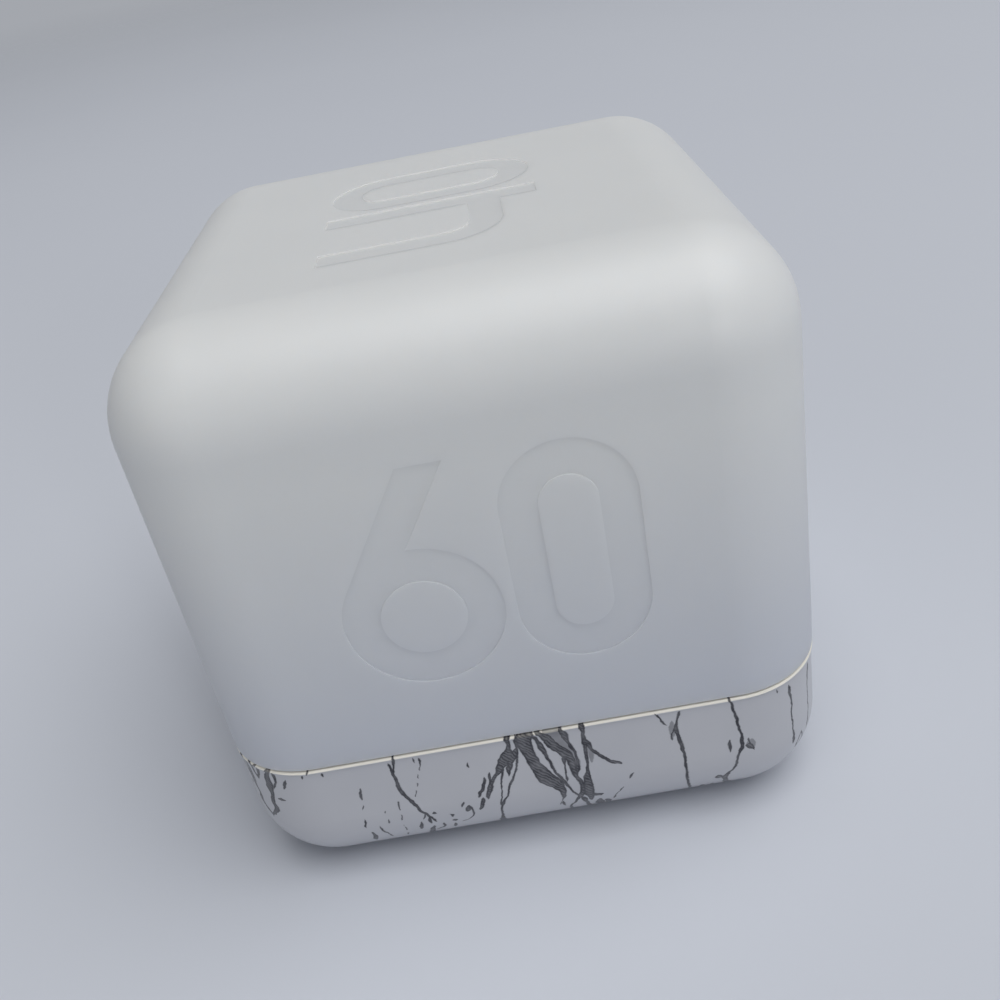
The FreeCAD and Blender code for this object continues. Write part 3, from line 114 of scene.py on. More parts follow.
# Veins on the film, in mm, each from the rim down: (height, along the perimeter from the front's middle,
# half width). A half width below 0 lifts the ink off between two marks of one run.
VEINS = [
    # left corner
    [(16.3, -25.7, .25), (15.5, -26.2, .35), (13.8, -26.5, .5), (12.5, -26.6, .3), (11.5, -26.9, .25),
     (10.3, -26.8, .35), (9.4, -27.6, .2), (8.3, -28.6, .2), (6.8, -30.0, .15), (5.2, -32.0, .12)],
    [(12.35, -25.5, .1), (12.2, -25.45, .5), (12.05, -25.5, .1)],
    [(15.9, -25.3, .12), (14.6, -25.4, .12), (13.8, -25.9, .1)],
    [(15.9, -27.3, .12), (14.3, -28.0, .18), (12.6, -29.2, .12)],
    [(16.2, -27.6, .15), (15.1, -29.0, .15), (12.8, -32.0, .12)],
    [(15.1, -24.1, .06), (14.0, -24.6, .1)],
    # specks left of the long curve
    [(15.7, -22.1, .07), (15.4, -22.1, .07), (15.0, -22.1, -.2), (13.2, -16.9, -.2), (12.8, -16.95, .1),
     (12.2, -17.1, .14), (11.6, -17.2, .1), (11.0, -17.25, -.15), (10.5, -17.3, .06), (10.2, -17.4, .06),
     (9.6, -17.5, -.15), (8.3, -17.6, .1), (7.5, -17.75, .1), (6.9, -17.6, -.15), (6.2, -17.3, .1),
     (4.0, -17.4, .12)],
    [(15.7, -20.1, .07), (15.4, -20.1, .07), (15.0, -20.1, -.2), (9.8, -15.35, -.2), (9.35, -15.35, .05),
     (9.2, -15.35, .05), (8.6, -15.3, -.15), (8.0, -15.3, .06), (7.6, -15.35, .06)],
    [(7.2, -16.4, .04), (5.9, -16.1, .08), (5.2, -15.8, .08), (4.3, -15.75, .05)],
    [(16.4, -21.3, .05), (15.9, -21.6, .05), (15.4, -21.6, -.2), (7.1, -12.1, -.2), (6.6, -12.15, .08),
     (5.2, -12.5, .12)],
    # long curve
    [(15.5, -13.55, .08), (15.0, -13.5, .12), (13.5, -13.35, .2), (12.3, -13.3, .2), (11.0, -12.9, .2),
     (9.8, -12.4, .18), (8.7, -11.9, .17), (7.7, -11.3, .16), (7.0, -10.9, .12), (6.3, -10.75, .08)],
    [(16.3, -13.0, .08), (14.9, -13.2, .1), (14.2, -13.3, .08), (13.6, -13.3, -.2), (8.5, -11.6, -.2),
     (8.0, -11.6, .06), (7.2, -11.85, .06)],
    [(7.4, -11.2, .08), (6.2, -11.3, .08)],
    # marks along the foot
    [(8.6, -7.6, .1), (8.25, -7.8, .1), (7.8, -8.0, -.2), (5.7, -11.0, -.2), (5.2, -11.2, .15),
     (3.8, -11.6, .3), (2.4, -11.8, .3)],
    [(5.6, -10.1, .08), (4.6, -10.2, .12), (4.0, -10.9, .12)],
    [(8.0, -10.6, .12), (7.8, -10.6, .12), (7.5, -10.0, -.15), (7.2, -9.0, .1), (6.8, -9.0, .1),
     (6.4, -8.9, -.15), (6.0, -8.85, .3), (5.85, -8.85, .3), (5.4, -8.9, -.15), (5.0, -9.0, .12),
     (4.0, -9.2, .12)],
    [(8.1, -7.1, .2), (7.7, -7.2, .28), (7.3, -7.3, .2)],
    [(7.9, -6.9, .08), (6.6, -6.85, .1), (5.8, -7.2, .1), (5.5, -7.8, .08)],
    [(8.8, -5.5, .14), (8.0, -5.7, .22), (7.2, -6.0, .14)],
    # forked tree left of the middle
    [(13.8, -6.15, .07), (13.3, -6.2, .07), (12.9, -6.0, -.2), (12.0, -5.0, -.2), (11.5, -4.9, .1),
     (10.5, -5.2, .16), (9.2, -5.8, .12)],
    [(12.0, -4.3, .1), (11.0, -4.4, .15), (10.2, -4.5, .3), (9.1, -4.9, .2), (8.6, -5.0, .05)],
    [(16.4, -1.85, .22), (15.2, -1.9, .22), (14.6, -2.0, .35), (13.8, -2.3, .65), (12.8, -2.9, .5),
     (12.0, -3.4, .25), (11.2, -4.0, .2), (10.3, -4.5, .25), (9.3, -4.8, .2)],
    [(14.6, -1.2, .15), (13.8, -1.6, .45), (12.8, -2.1, .34), (11.3, -2.45, .08)],
    [(16.2, -1.05, .12), (14.4, -1.1, .1), (12.9, -1.4, .1), (11.3, -1.9, .1), (9.9, -2.6, .15),
     (9.2, -2.8, .12), (8.1, -3.4, .12), (7.3, -3.8, .15)],
    [(12.6, -2.9, .15), (11.6, -3.1, .12), (10.1, -3.4, .08), (9.0, -3.6, .08), (7.6, -3.85, .12),
     (6.0, -4.0, .12), (4.5, -4.15, .2), (2.4, -4.3, .35)],
    # broad leaf in the middle and the vein beside it
    [(16.3, -.1, .8), (15.2, -.3, .75), (13.8, -.1, .62), (12.5, .2, .6), (11.0, .75, .75), (10.0, 1.2, .85),
     (9.3, 1.7, .8), (8.3, 2.25, .48), (7.2, 2.4, .24), (6.2, 2.2, .05), (5.2, 1.9, .04)],
    [(16.2, .4, .12), (15.1, .95, .18), (14.1, 1.25, .34), (13.2, 1.5, .18), (12.0, 1.8, .13),
     (10.8, 2.1, .15), (9.4, 2.7, .18), (7.9, 3.3, .12), (6.9, 3.8, .12), (6.3, 4.1, .12)],
    [(6.3, 3.9, .18), (5.4, 3.5, .16), (4.4, 3.0, .15), (2.4, 2.9, .15)],
    [(5.9, 2.3, .08), (4.8, 2.3, .08)],
    # second leaf
    [(16.3, 1.2, .25), (15.3, 1.9, .5), (14.2, 2.4, .5), (13.2, 3.2, .55), (12.2, 3.7, .45), (11.0, 3.9, .35),
     (9.8, 4.0, .3), (8.6, 4.4, .25), (7.4, 4.4, .3), (6.3, 4.1, .3)],
    [(16.2, 3.3, .2), (15.2, 3.6, .34), (14.0, 3.9, .2), (12.8, 4.3, .15), (11.6, 4.4, .2), (10.2, 4.2, .15)],
    [(12.5, 3.2, .15), (11.3, 3.1, .1), (10.2, 3.15, .1), (9.2, 3.05, .06)],
    # trunk with its branch, and its roots
    [(16.3, 5.4, .25), (15.0, 5.4, .2), (13.5, 5.4, .25), (12.0, 5.35, .2), (10.5, 5.25, .2), (9.4, 5.1, .35),
     (8.2, 5.0, .52), (7.0, 5.0, .52), (6.0, 5.1, .35), (5.2, 5.1, .12)],
    [(14.2, 5.5, .2), (12.9, 6.0, .2), (12.0, 6.6, .19), (11.1, 7.4, .2), (10.5, 8.2, .22)],
    [(6.2, 4.3, .15), (4.6, 4.6, .2), (2.4, 4.8, .2)],
    [(6.5, 5.5, .2), (6.25, 5.8, .4), (6.0, 6.0, .2)],
    [(4.9, 5.9, .2), (4.2, 5.9, .4), (2.4, 6.0, .4)],
    [(4.3, 6.7, .2), (3.4, 6.8, .3), (2.4, 6.8, .3)],
    [(8.7, 9.6, .08), (8.2, 9.3, .08), (7.8, 9.0, -.15), (7.1, 8.6, -.15), (6.7, 8.4, .06), (6.0, 8.0, .06),
     (5.4, 7.6, .06), (4.4, 7.4, .06)],
    # right of the middle
    [(16.0, 12.5, .08), (15.1, 13.0, .08), (14.3, 13.3, .06), (14.0, 13.8, -.1), (13.6, 14.1, .08),
     (13.0, 13.8, .08), (12.3, 13.9, .06)],
    [(15.7, 14.8, .06), (14.6, 14.5, .12), (13.5, 14.3, .22), (12.3, 14.5, .2), (11.0, 14.7, .2),
     (9.5, 14.9, .16), (8.0, 14.9, .14), (6.5, 14.95, .14), (4.5, 15.1, .14), (2.4, 15.3, .15)],
    [(16.4, 19.55, .1), (15.6, 19.8, .12), (14.2, 20.1, .14), (12.8, 20.3, .15), (11.5, 20.5, .15),
     (10.3, 20.6, .22), (9.4, 20.4, .18), (8.4, 20.0, .15), (7.3, 19.8, .16), (6.5, 19.5, .12),
     (6.1, 19.1, .15), (5.4, 18.8, .3), (4.0, 18.8, .3), (2.4, 19.2, .4)],
    [(10.7, 21.25, .08), (10.1, 21.3, .13), (9.85, 21.25, .4), (9.5, 21.35, .36), (9.2, 21.6, .1)],
    [(10.8, 19.35, .08), (9.5, 19.35, .08), (9.0, 19.2, -.2), (6.1, 18.0, -.2), (5.7, 18.0, .3),
     (5.3, 18.15, .4)],
    [(15.6, 24.6, .06), (15.3, 24.6, .06), (14.9, 24.6, -.2), (3.9, 16.5, -.2), (3.4, 16.5, .2),
     (2.4, 16.5, .2)],
    [(3.2, 17.5, .15), (2.4, 17.5, .15)],
    # right corner
    [(15.2, 26.1, .08), (13.0, 26.4, .1), (11.0, 26.4, .1), (9.0, 26.5, .1), (7.2, 26.7, .08)],
    [(13.5, 29.9, .12), (12.0, 29.7, .15), (9.9, 29.2, .15), (8.2, 28.3, .15), (6.6, 27.5, .12),
     (5.6, 27.6, .1)],
    [(16.1, 29.8, .12), (15.0, 30.8, .15), (13.6, 32.0, .12)],
]
FAINT_VEINS = [
    [(16.3, 2.5, .9), (15.2, 2.9, .7), (14.2, 3.3, .5), (13.0, 4.0, .3), (11.0, 4.3, .25)],
    [(13.6, 5.8, .1), (12.4, 5.9, .3), (11.2, 5.8, .08)],
    [(14.6, 14.0, .1), (13.4, 13.9, .25), (12.6, 13.9, .1)],
    [(10.4, 21.5, .3), (9.8, 21.4, .5), (9.4, 21.5, .2)],
]
BROKEN_VEINS = [
    [(11.6, -13.4, .07), (10.1, -13.75, .07), (8.7, -13.85, .07), (7.3, -13.95, .07), (4.8, -14.0, .07),
     (2.0, -14.4, .1)],
    [(15.7, -10.5, .05), (14.3, -10.8, .05), (13.1, -11.2, .05), (12.0, -11.5, .05), (10.5, -12.0, .06),
     (9.5, -12.1, .06)],
    [(15.6, -11.1, .06), (15.2, -11.1, .06), (14.8, -11.0, -.2), (8.4, -4.1, -.2), (7.9, -4.05, .06),
     (7.4, -4.0, .06)],
]

# White ABS under a clear-coated film: a soft shine, dark ink that thins in places, a faint cloudiness.
marble, tree, shader, place = new_finish("abs_marble_transfer_film", Roughness=0.34, IOR=1.49,
                                         Coat_Weight=0.3, Coat_Roughness=0.2)
across, deep, height = add(tree, "ShaderNodeSeparateXYZ", {0: place}).node.outputs
# The film is unrolled: along the perimeter from the front's middle, and up the side from the turned-in foot.
core_x = add(tree, "ShaderNodeClamp", {"Value": across, "Min": -FLAT, "Max": FLAT})
core_y = add(tree, "ShaderNodeClamp", {"Value": deep, "Min": -FLAT, "Max": FLAT})
out_x = add(tree, "ShaderNodeMath", {0: across, 1: core_x}, operation="SUBTRACT")
out_front = add(tree, "ShaderNodeMath", {0: core_y, 1: deep}, operation="SUBTRACT")
bearing = add(tree, "ShaderNodeMath", {0: out_x, 1: out_front}, operation="ARCTAN2")
quarters = add(tree, "ShaderNodeMath", {0: bearing, 1: math.pi / 2}, operation="DIVIDE")
side = add(tree, "ShaderNodeMath", {0: quarters}, operation="ROUND")
side_angle = add(tree, "ShaderNodeMath", {0: side, 1: math.pi / 2}, operation="MULTIPLY")
turned = add(tree, "ShaderNodeMath", {0: bearing, 1: side_angle}, operation="SUBTRACT")
cosine = add(tree, "ShaderNodeMath", {0: side_angle}, operation="COSINE")
sine = add(tree, "ShaderNodeMath", {0: side_angle}, operation="SINE")
along = add(tree, "ShaderNodeMath", {0: core_x, 1: cosine}, operation="MULTIPLY")
along = add(tree, "ShaderNodeMath", {0: core_y, 1: sine, 2: along}, operation="MULTIPLY_ADD")
along = add(tree, "ShaderNodeMath", {0: turned, 1: CORNER, 2: along}, operation="MULTIPLY_ADD")
# Every other side is mirrored, so that the veins meet at the corners.
twice = add(tree, "ShaderNodeMath", {0: side_angle, 1: 2.0}, operation="MULTIPLY")
mirrored = add(tree, "ShaderNodeMath", {0: twice}, operation="COSINE")
along = add(tree, "ShaderNodeMath", {0: along, 1: mirrored}, operation="MULTIPLY")
below = add(tree, "ShaderNodeMath", {0: FILM_RADIUS, 1: height}, operation="SUBTRACT")
below = add(tree, "ShaderNodeMath", {0: below, 1: 0.0}, operation="MAXIMUM")
reach = add(tree, "ShaderNodeCombineXYZ", {0: out_x, 1: out_front})
reach = add(tree, "ShaderNodeVectorMath", {0: reach}, take="Value", operation="LENGTH")
turned_in = add(tree, "ShaderNodeMath", {0: below, 1: reach}, operation="ARCTAN2")
up = add(tree, "ShaderNodeMath", {0: height, 1: FILM_RADIUS}, operation="MAXIMUM")
up = add(tree, "ShaderNodeMath", {0: turned_in, 1: -FILM_RADIUS, 2: up}, operation="MULTIPLY_ADD")
film = add(tree, "ShaderNodeCombineXYZ", {0: along, 1: up})
# The film stretches as it wraps, so the veins waver by a fraction of a mm, and drift more behind the corners.
ripple = add(tree, "ShaderNodeTexNoise", {"Vector": place, "Scale": 1.1, "Detail": 3.0}, take="Color")
ripple = add(tree, "ShaderNodeVectorMath", {0: ripple, 1: (0.5, 0.5, 0.5)}, operation="SUBTRACT")
film = add(tree, "ShaderNodeVectorMath", {0: ripple, 1: (0.5, 0.5, 0.0), 2: film}, operation="MULTIPLY_ADD")
drift = add(tree, "ShaderNodeTexNoise", {"Vector": place, "Scale": 0.05, "Detail": 1.0}, take="Color")
drift = add(tree, "ShaderNodeVectorMath", {0: drift, 1: (0.5, 0.5, 0.5)}, operation="SUBTRACT")
behind = add(tree, "ShaderNodeMath", {0: bearing}, operation="ABSOLUTE")
behind = add(tree, "ShaderNodeMapRange", {"Value": behind, "From Min": 1.0, "From Max": 2.0, "To Max": 24.0})
drift = add(tree, "ShaderNodeVectorMath", {0: drift, "Scale": behind}, operation="SCALE")
film = add(tree, "ShaderNodeVectorMath", {0: drift, 1: (1.0, 0.3, 0.0), 2: film}, operation="MULTIPLY_ADD")

along, up, _ = add(tree, "ShaderNodeSeparateXYZ", {0: film}).node.outputs


def ink_edge(veins):
    """How far a place on the film lies outside the nearest of these veins, mm. It is below 0 in the ink."""
    nearest = None
    for vein in veins:
        # Each end tapers off the way it points. Where a vein leans, it is wider along the film than across
        # itself.
        first, last = [(out[1] - inner[1]) / (out[0] - inner[0]) for out, inner in (vein[:2], vein[:-3:-1])]
        taper = FOOT_TAPER if vein[-1][0] < FOOT else TAPER
        run = [(vein[-1][0] - taper, vein[-1][1] - taper * last, GONE), *reversed(vein),
               (vein[0][0] + TAPER, vein[0][1] + TAPER * first, GONE)]
        leans = [(above[1] - below[1]) / (above[0] - below[0]) for below, above in zip(run, run[2:])]
        halves = [half * min(math.hypot(1, lean), 2.5) if half > 0 else half
                  for (_, _, half), lean in zip(run[1:-1], leans)]
        drawn = []
        for values in ([middle for _, middle, _ in run], [GONE, *halves, GONE]):
            drawn.append(add(tree, "ShaderNodeFloatCurve", {"Value": up}))
            drawn[-1].node.mapping.use_clip = False
            line = drawn[-1].node.mapping.curves[0].points
            line[0].location, line[1].location = (run[0][0], values[0]), (run[-1][0], values[-1])
            for station, value in list(zip(run, values))[1:-1]:
                line.new(station[0], value)
            drawn[-1].node.mapping.update()
        aside = add(tree, "ShaderNodeMath", {0: along, 1: drawn[0]}, operation="SUBTRACT")
        aside = add(tree, "ShaderNodeMath", {0: aside}, operation="ABSOLUTE")
        edge = add(tree, "ShaderNodeMath", {0: aside, 1: drawn[1]}, operation="SUBTRACT")
        nearest = edge if nearest is None else add(tree, "ShaderNodeMath", {0: nearest, 1: edge},
                                                   operation="MINIMUM")
    return nearest


solid_edge = ink_edge(VEINS)
ink_soft = {"From Min": -0.05, "From Max": 0.05, "To Min": 1.0, "To Max": 0.0}
ink = add(tree, "ShaderNodeMapRange", {"Value": solid_edge, **ink_soft})
broken = add(tree, "ShaderNodeMapRange", {"Value": ink_edge(BROKEN_VEINS), **ink_soft})
dashes = add(tree, "ShaderNodeTexNoise", {"Vector": place, "Scale": 1.3, "Detail": 0.0})
dashes = add(tree, "ShaderNodeMapRange", {"Value": dashes, "From Min": 0.47, "From Max": 0.53})
broken = add(tree, "ShaderNodeMath", {0: broken, 1: dashes}, operation="MULTIPLY")
ink = add(tree, "ShaderNodeMath", {0: ink, 1: broken}, operation="MAXIMUM")
faint = add(tree, "ShaderNodeMapRange", {"Value": ink_edge(FAINT_VEINS), **ink_soft, "To Min": 0.55})
ink = add(tree, "ShaderNodeMath", {0: ink, 1: faint}, operation="MAXIMUM")
# Inside its dark outline a broad vein is only hatched.
hatching = add(tree, "ShaderNodeTexWave", {"Vector": film, "Scale": math.pi / 10 / HATCH, "Distortion": 2.5,
                                           "Detail": 1.0, "Detail Scale": 1.0}, take="Fac",
               wave_type="BANDS", bands_direction="DIAGONAL")
inside = add(tree, "ShaderNodeMapRange", {"Value": solid_edge, "From Min": -0.3, "From Max": -0.12,
                                          "To Min": 0.22, "To Max": 0.0})
hatching = add(tree, "ShaderNodeMath", {0: hatching, 1: inside}, operation="MULTIPLY")
ink = add(tree, "ShaderNodeMath", {0: ink, 1: hatching}, operation="SUBTRACT", use_clamp=True)
thinned = add(tree, "ShaderNodeTexNoise", {"Vector": place, "Scale": 0.9, "Detail": 2.0})
thinned = add(tree, "ShaderNodeMapRange", {"Value": thinned, "From Min": 0.3, "From Max": 0.6,
                                           "To Min": 0.84})
ink = add(tree, "ShaderNodeMath", {0: ink, 1: thinned}, operation="MULTIPLY")
# The film covers the outside alone, and is trimmed where the side turns under.
skin = add(tree, "ShaderNodeCombineXYZ", {0: reach, 1: below})
skin = add(tree, "ShaderNodeVectorMath", {0: skin}, take="Value", operation="LENGTH")
covered = add(tree, "ShaderNodeMapRange", {"Value": skin, "From Min": FILM_RADIUS - 0.35,
                                           "From Max": FILM_RADIUS - 0.25})
trimmed = add(tree, "ShaderNodeMapRange", {"Value": up, "From Min": -1.2, "From Max": 0.2})
covered = add(tree, "ShaderNodeMath", {0: covered, 1: trimmed}, operation="MULTIPLY")
ink = add(tree, "ShaderNodeMath", {0: ink, 1: covered}, operation="MULTIPLY")
# The film's ground is greyer than the cap's white: painted shade for the low base, clouded faintly at random.
cloud = add(tree, "ShaderNodeTexNoise", {"Vector": place, "Scale": 0.09, "Detail": 3.0})
white = add(tree, "ShaderNodeMix", {0: cloud, 6: linear("#C4C5CA"), 7: linear("#B8BAC1")}, take=2,
            data_type="RGBA")
# Painted highlight: the rim's rounded top is coloured a bright cream, for the fine line of light it catches.
rim_highlight = add(tree, "ShaderNodeMapRange", {"Value": height, "From Min": RIM - 0.28, "From Max": RIM - 0.22})
white = add(tree, "ShaderNodeMix", {0: rim_highlight, 6: white, 7: linear("#F8F4E8")}, take=2, data_type="RGBA")
colour = add(tree, "ShaderNodeMix", {0: ink, 6: white, 7: linear("#1F1F2A")}, take=2, data_type="RGBA")
tree.links.new(colour, shader.inputs["Base Color"])
moulded = add(tree, "ShaderNodeTexNoise", {"Vector": place, "Scale": 2.5, "Detail": 2.0})
lay(tree, shader, moulded, relief=(0.05, 0.1))
wear_finish(marble, "base_cover")

# ------------------------------------------------ slide switch and its knob
# A small slide switch hangs under the board. The knob, moulded in grey ABS with cross ridges, runs in
# a guide in the base and takes the switch's lever in its fork, so it sets the sound off, low or high.

# Satin ABS with a fine spark texture: the grey breaks up slightly under a raking light.
knob_grey, tree, shader, place = new_finish("abs_spark_textured_grey", Roughness=0.42, IOR=1.53)
grain = add(tree, "ShaderNodeTexNoise", {"Vector": place, "Scale": 4.0, "Detail": 3.0})
lay(tree, shader, grain, ("#74777C", "#85888D"), relief=(0.3, 0.05))
wear_finish(knob_grey, "switch_knob")

# Black PBT, filled and matte from a sparked mould: fine speckle, broad dim highlights.
black_pbt, tree, shader, place = new_finish("pbt_sparked_black", IOR=1.56)
grain = add(tree, "ShaderNodeTexNoise", {"Vector": place, "Scale": 5.0, "Detail": 4.0})
lay(tree, shader, grain, ("#1B1C1E", "#2A2B2E"), rough=(0.48, 0.62), relief=(0.35, 0.06))
wear_finish(black_pbt, "switch_lever")

# Drawn steel with bright nickel plate: sharp reflections, faint lines from the drawing along Z.
drawn_nickel, tree, shader, place = new_finish("steel_drawn_nickel_plated", Metallic=1.0)
pulled = add(tree, "ShaderNodeVectorMath", {0: place, 1: (9.0, 9.0, 0.4)}, operation="MULTIPLY")
lines = add(tree, "ShaderNodeTexNoise", {"Vector": pulled, "Scale": 1.0, "Detail": 2.0})
lay(tree, shader, lines, ("#C9C7C1", "#DEDCD6"), rough=(0.18, 0.32), relief=(0.2, 0.02))
wear_finish(drawn_nickel, "switch_frame")

# ------------------------------------------------ battery box
# A roofed tray moulded in black PBT. It stands on the board's towers, closes the bay over the cells
# and holds the contact plates by its end walls.

wear_finish(black_pbt, "battery_box")

# ------------------------------------------------ contacts
# Strip and wire of nickel-plated spring steel. The plates are stamped with round buttons and their
# tails pass up through the board; the springs are wound and welded on.

# Rolled strip, plated after stamping: a warm grey sheen with rolling lines along X.
nickel_strip, tree, shader, place = new_finish("spring_strip_nickel_plated", Metallic=1.0)
pulled = add(tree, "ShaderNodeVectorMath", {0: place, 1: (0.5, 6.0, 8.0)}, operation="MULTIPLY")
lines = add(tree, "ShaderNodeTexNoise", {"Vector": pulled, "Scale": 1.0, "Detail": 3.0})
lay(tree, shader, lines, ("#BDB8AC", "#D6D2C8"), rough=(0.24, 0.4), relief=(0.2, 0.02))
wear_finish(nickel_strip, "positive_plate", "negative_plate", "link_plate")

# Drawn wire under a thin nickel plate, with the mottle of handling.
nickel_wire, tree, shader, place = new_finish("spring_wire_nickel_plated", Metallic=1.0)
mottle = add(tree, "ShaderNodeTexNoise", {"Vector": place, "Scale": 3.0, "Detail": 3.0})
lay(tree, shader, mottle, ("#B4B0A6", "#D3D0C8"), rough=(0.2, 0.34))
wear_finish(nickel_wire, "negative_spring", "link_spring")

# ------------------------------------------------ cells
# Two dry cells, head to tail. Each is a steel can in a printed shrink sleeve that turns in over the
# rim, with a bare nickel button at one end and a bare steel base at the other.

CELL_MIDDLE = (5.6, 7.85)   # a cell's axis: out from the middle, and up
CAN_RADIUS = 5.25
TURNED_IN = 0.74            # share of the radius where the sleeve's turned-in end stops
BAND = 10.0                 # the pale band starts here along the cell, towards the button
LINE, LINE_HALF = 9.4, 0.25     # the printed line beside the band

# Sleeve of printed film: glossy, grey-blue with a pale band at the button's end. Bare nickel at both ends.
sleeved_cell, tree, shader, place = new_finish("cell_shrink_sleeve_over_nickel", Coat_Roughness=0.1)
across, deep, height = add(tree, "ShaderNodeSeparateXYZ", {0: place}).node.outputs
which = add(tree, "ShaderNodeMath", {0: across}, operation="SIGN")
to_button = add(tree, "ShaderNodeMath", {0: deep, 1: which}, operation="MULTIPLY")
from_axis = add(tree, "ShaderNodeMath", {0: across}, operation="ABSOLUTE")
from_axis = add(tree, "ShaderNodeMath", {0: from_axis, 1: CELL_MIDDLE[0]}, operation="SUBTRACT")
above_axis = add(tree, "ShaderNodeMath", {0: height, 1: CELL_MIDDLE[1]}, operation="SUBTRACT")
from_axis = add(tree, "ShaderNodeCombineXYZ", {0: from_axis, 1: above_axis})
from_axis = add(tree, "ShaderNodeVectorMath", {0: from_axis}, take="Value", operation="LENGTH")
sleeved = add(tree, "ShaderNodeMath", {0: from_axis, 1: CAN_RADIUS * TURNED_IN}, operation="GREATER_THAN")
banded = add(tree, "ShaderNodeMath", {0: to_button, 1: BAND}, operation="GREATER_THAN")
film_print = add(tree, "ShaderNodeMix", {0: banded, 6: linear("#3E5872"), 7: linear("#C7CBCF")}, take=2,
                 data_type="RGBA")
lined = add(tree, "ShaderNodeMath", {0: to_button, 1: LINE, 2: LINE_HALF}, operation="COMPARE")
film_print = add(tree, "ShaderNodeMix", {0: lined, 6: film_print, 7: linear("#E4E6E8")}, take=2,
                 data_type="RGBA")
rubbed = add(tree, "ShaderNodeTexNoise", {"Vector": place, "Scale": 1.5, "Detail": 4.0})
bare = add(tree, "ShaderNodeMix", {0: rubbed, 6: linear("#BBB7AE"), 7: linear("#D8D5CE")}, take=2,
           data_type="RGBA")
colour = add(tree, "ShaderNodeMix", {0: sleeved, 6: bare, 7: film_print}, take=2, data_type="RGBA")
tree.links.new(colour, shader.inputs["Base Color"])
metal = add(tree, "ShaderNodeMath", {0: 1.0, 1: sleeved}, operation="SUBTRACT")
tree.links.new(metal, shader.inputs["Metallic"])
lay(tree, shader, rubbed, rough=(0.2, 0.36), start=0.35)
wear_finish(sleeved_cell, "cell_left", "cell_right")

# ------------------------------------------------ circuit board
# Glass-fibre laminate with copper tracks under green solder mask and white legend round each part.
# It rests on the battery box's towers and four screws hold it.

BOARD_LOW, BOARD_TOP = 15.7, 17.3
GRID = 1.27                 # pitch of the tracks
TRACK_HALF = 0.14           # half a track's width, as a share of the grid
LEGEND_GAP, LEGEND_HALF = 0.6, 0.09     # from a part to the middle of its line, and half the line's width
LEGENDS = ["microcontroller", "crystal", "electrolytic_capacitor", "driver_transistor", "tilt_can_z"]

# Solder mask is glossy over slightly raised tracks; the routed edge shows the straw-coloured laminate.
board_mask, tree, shader, place = new_finish("fr4_green_solder_mask", IOR=1.5)
across, deep, height = add(tree, "ShaderNodeSeparateXYZ", {0: place}).node.outputs
# Tracks 0.35 mm wide run on the grid, along X in some areas and along Y in others.
area = add(tree, "ShaderNodeVectorMath", {0: place, 1: (6 * GRID, 6 * GRID, 100.0)}, operation="DIVIDE")
area = add(tree, "ShaderNodeVectorMath", {0: area}, operation="FLOOR")
area = add(tree, "ShaderNodeTexWhiteNoise", {0: area}, take="Value", noise_dimensions="3D")
tracks = []
for axis in (across, deep):
    line = add(tree, "ShaderNodeMath", {0: axis, 1: GRID}, operation="DIVIDE")
    line = add(tree, "ShaderNodeMath", {0: line}, operation="FRACT")
    tracks.append(add(tree, "ShaderNodeMath", {0: line, 1: 0.5, 2: TRACK_HALF}, operation="COMPARE"))
pick = add(tree, "ShaderNodeMath", {0: area, 1: 0.45}, operation="GREATER_THAN")
track = add(tree, "ShaderNodeMix", {0: pick, 2: tracks[0], 3: tracks[1]}, data_type="FLOAT")
poured = add(tree, "ShaderNodeMath", {0: area, 1: 0.8}, operation="GREATER_THAN")
copper = add(tree, "ShaderNodeMath", {0: track, 1: poured}, operation="MAXIMUM")
mask_colour = add(tree, "ShaderNodeMix", {0: copper, 6: linear("#14492B"), 7: linear("#1F6A3C")}, take=2,
                  data_type="RGBA")
legend = None
for name in LEGENDS:
    low, high = (Vector(corner) * 1000 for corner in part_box(name))
    middle, half = (low + high) / 2, (high - low) / 2 + Vector((LEGEND_GAP, LEGEND_GAP, 0.0))
    apart = add(tree, "ShaderNodeVectorMath", {0: place, 1: (*middle.xy, 0.0)}, operation="SUBTRACT")
    apart = add(tree, "ShaderNodeVectorMath", {0: apart}, operation="ABSOLUTE")
    apart = add(tree, "ShaderNodeVectorMath", {0: apart, 1: (*half.xy, 0.0)}, operation="SUBTRACT")
    beside, ahead, _ = add(tree, "ShaderNodeSeparateXYZ", {0: apart}).node.outputs
    ring = add(tree, "ShaderNodeMath", {0: beside, 1: ahead}, operation="MAXIMUM")
    ring = add(tree, "ShaderNodeMath", {0: ring, 1: 0.0, 2: LEGEND_HALF}, operation="COMPARE")
    legend = ring if legend is None else add(tree, "ShaderNodeMath", {0: legend, 1: ring},
                                             operation="MAXIMUM")
on_top = add(tree, "ShaderNodeMath", {0: height, 1: BOARD_TOP - 0.02}, operation="GREATER_THAN")
legend = add(tree, "ShaderNodeMath", {0: legend, 1: on_top}, operation="MULTIPLY")
mask_colour = add(tree, "ShaderNodeMix", {0: legend, 6: mask_colour, 7: linear("#E6E7E2")}, take=2,
                  data_type="RGBA")
facing = add(tree, "ShaderNodeNewGeometry", take="Normal")
facing = add(tree, "ShaderNodeVectorMath", {0: facing, 1: (0.0, 0.0, 1.0)}, take="Value",
             operation="DOT_PRODUCT")
facing = add(tree, "ShaderNodeMath", {0: facing}, operation="ABSOLUTE")
cut_edge = add(tree, "ShaderNodeMath", {0: facing, 1: 0.5}, operation="LESS_THAN")
glass = add(tree, "ShaderNodeVectorMath", {0: place, 1: (1.0, 1.0, 12.0)}, operation="MULTIPLY")
glass = add(tree, "ShaderNodeTexNoise", {"Vector": glass, "Scale": 1.0, "Detail": 3.0})
laminate = add(tree, "ShaderNodeMix", {0: glass, 6: linear("#A69A62"), 7: linear("#C9BF8E")}, take=2,
               data_type="RGBA")
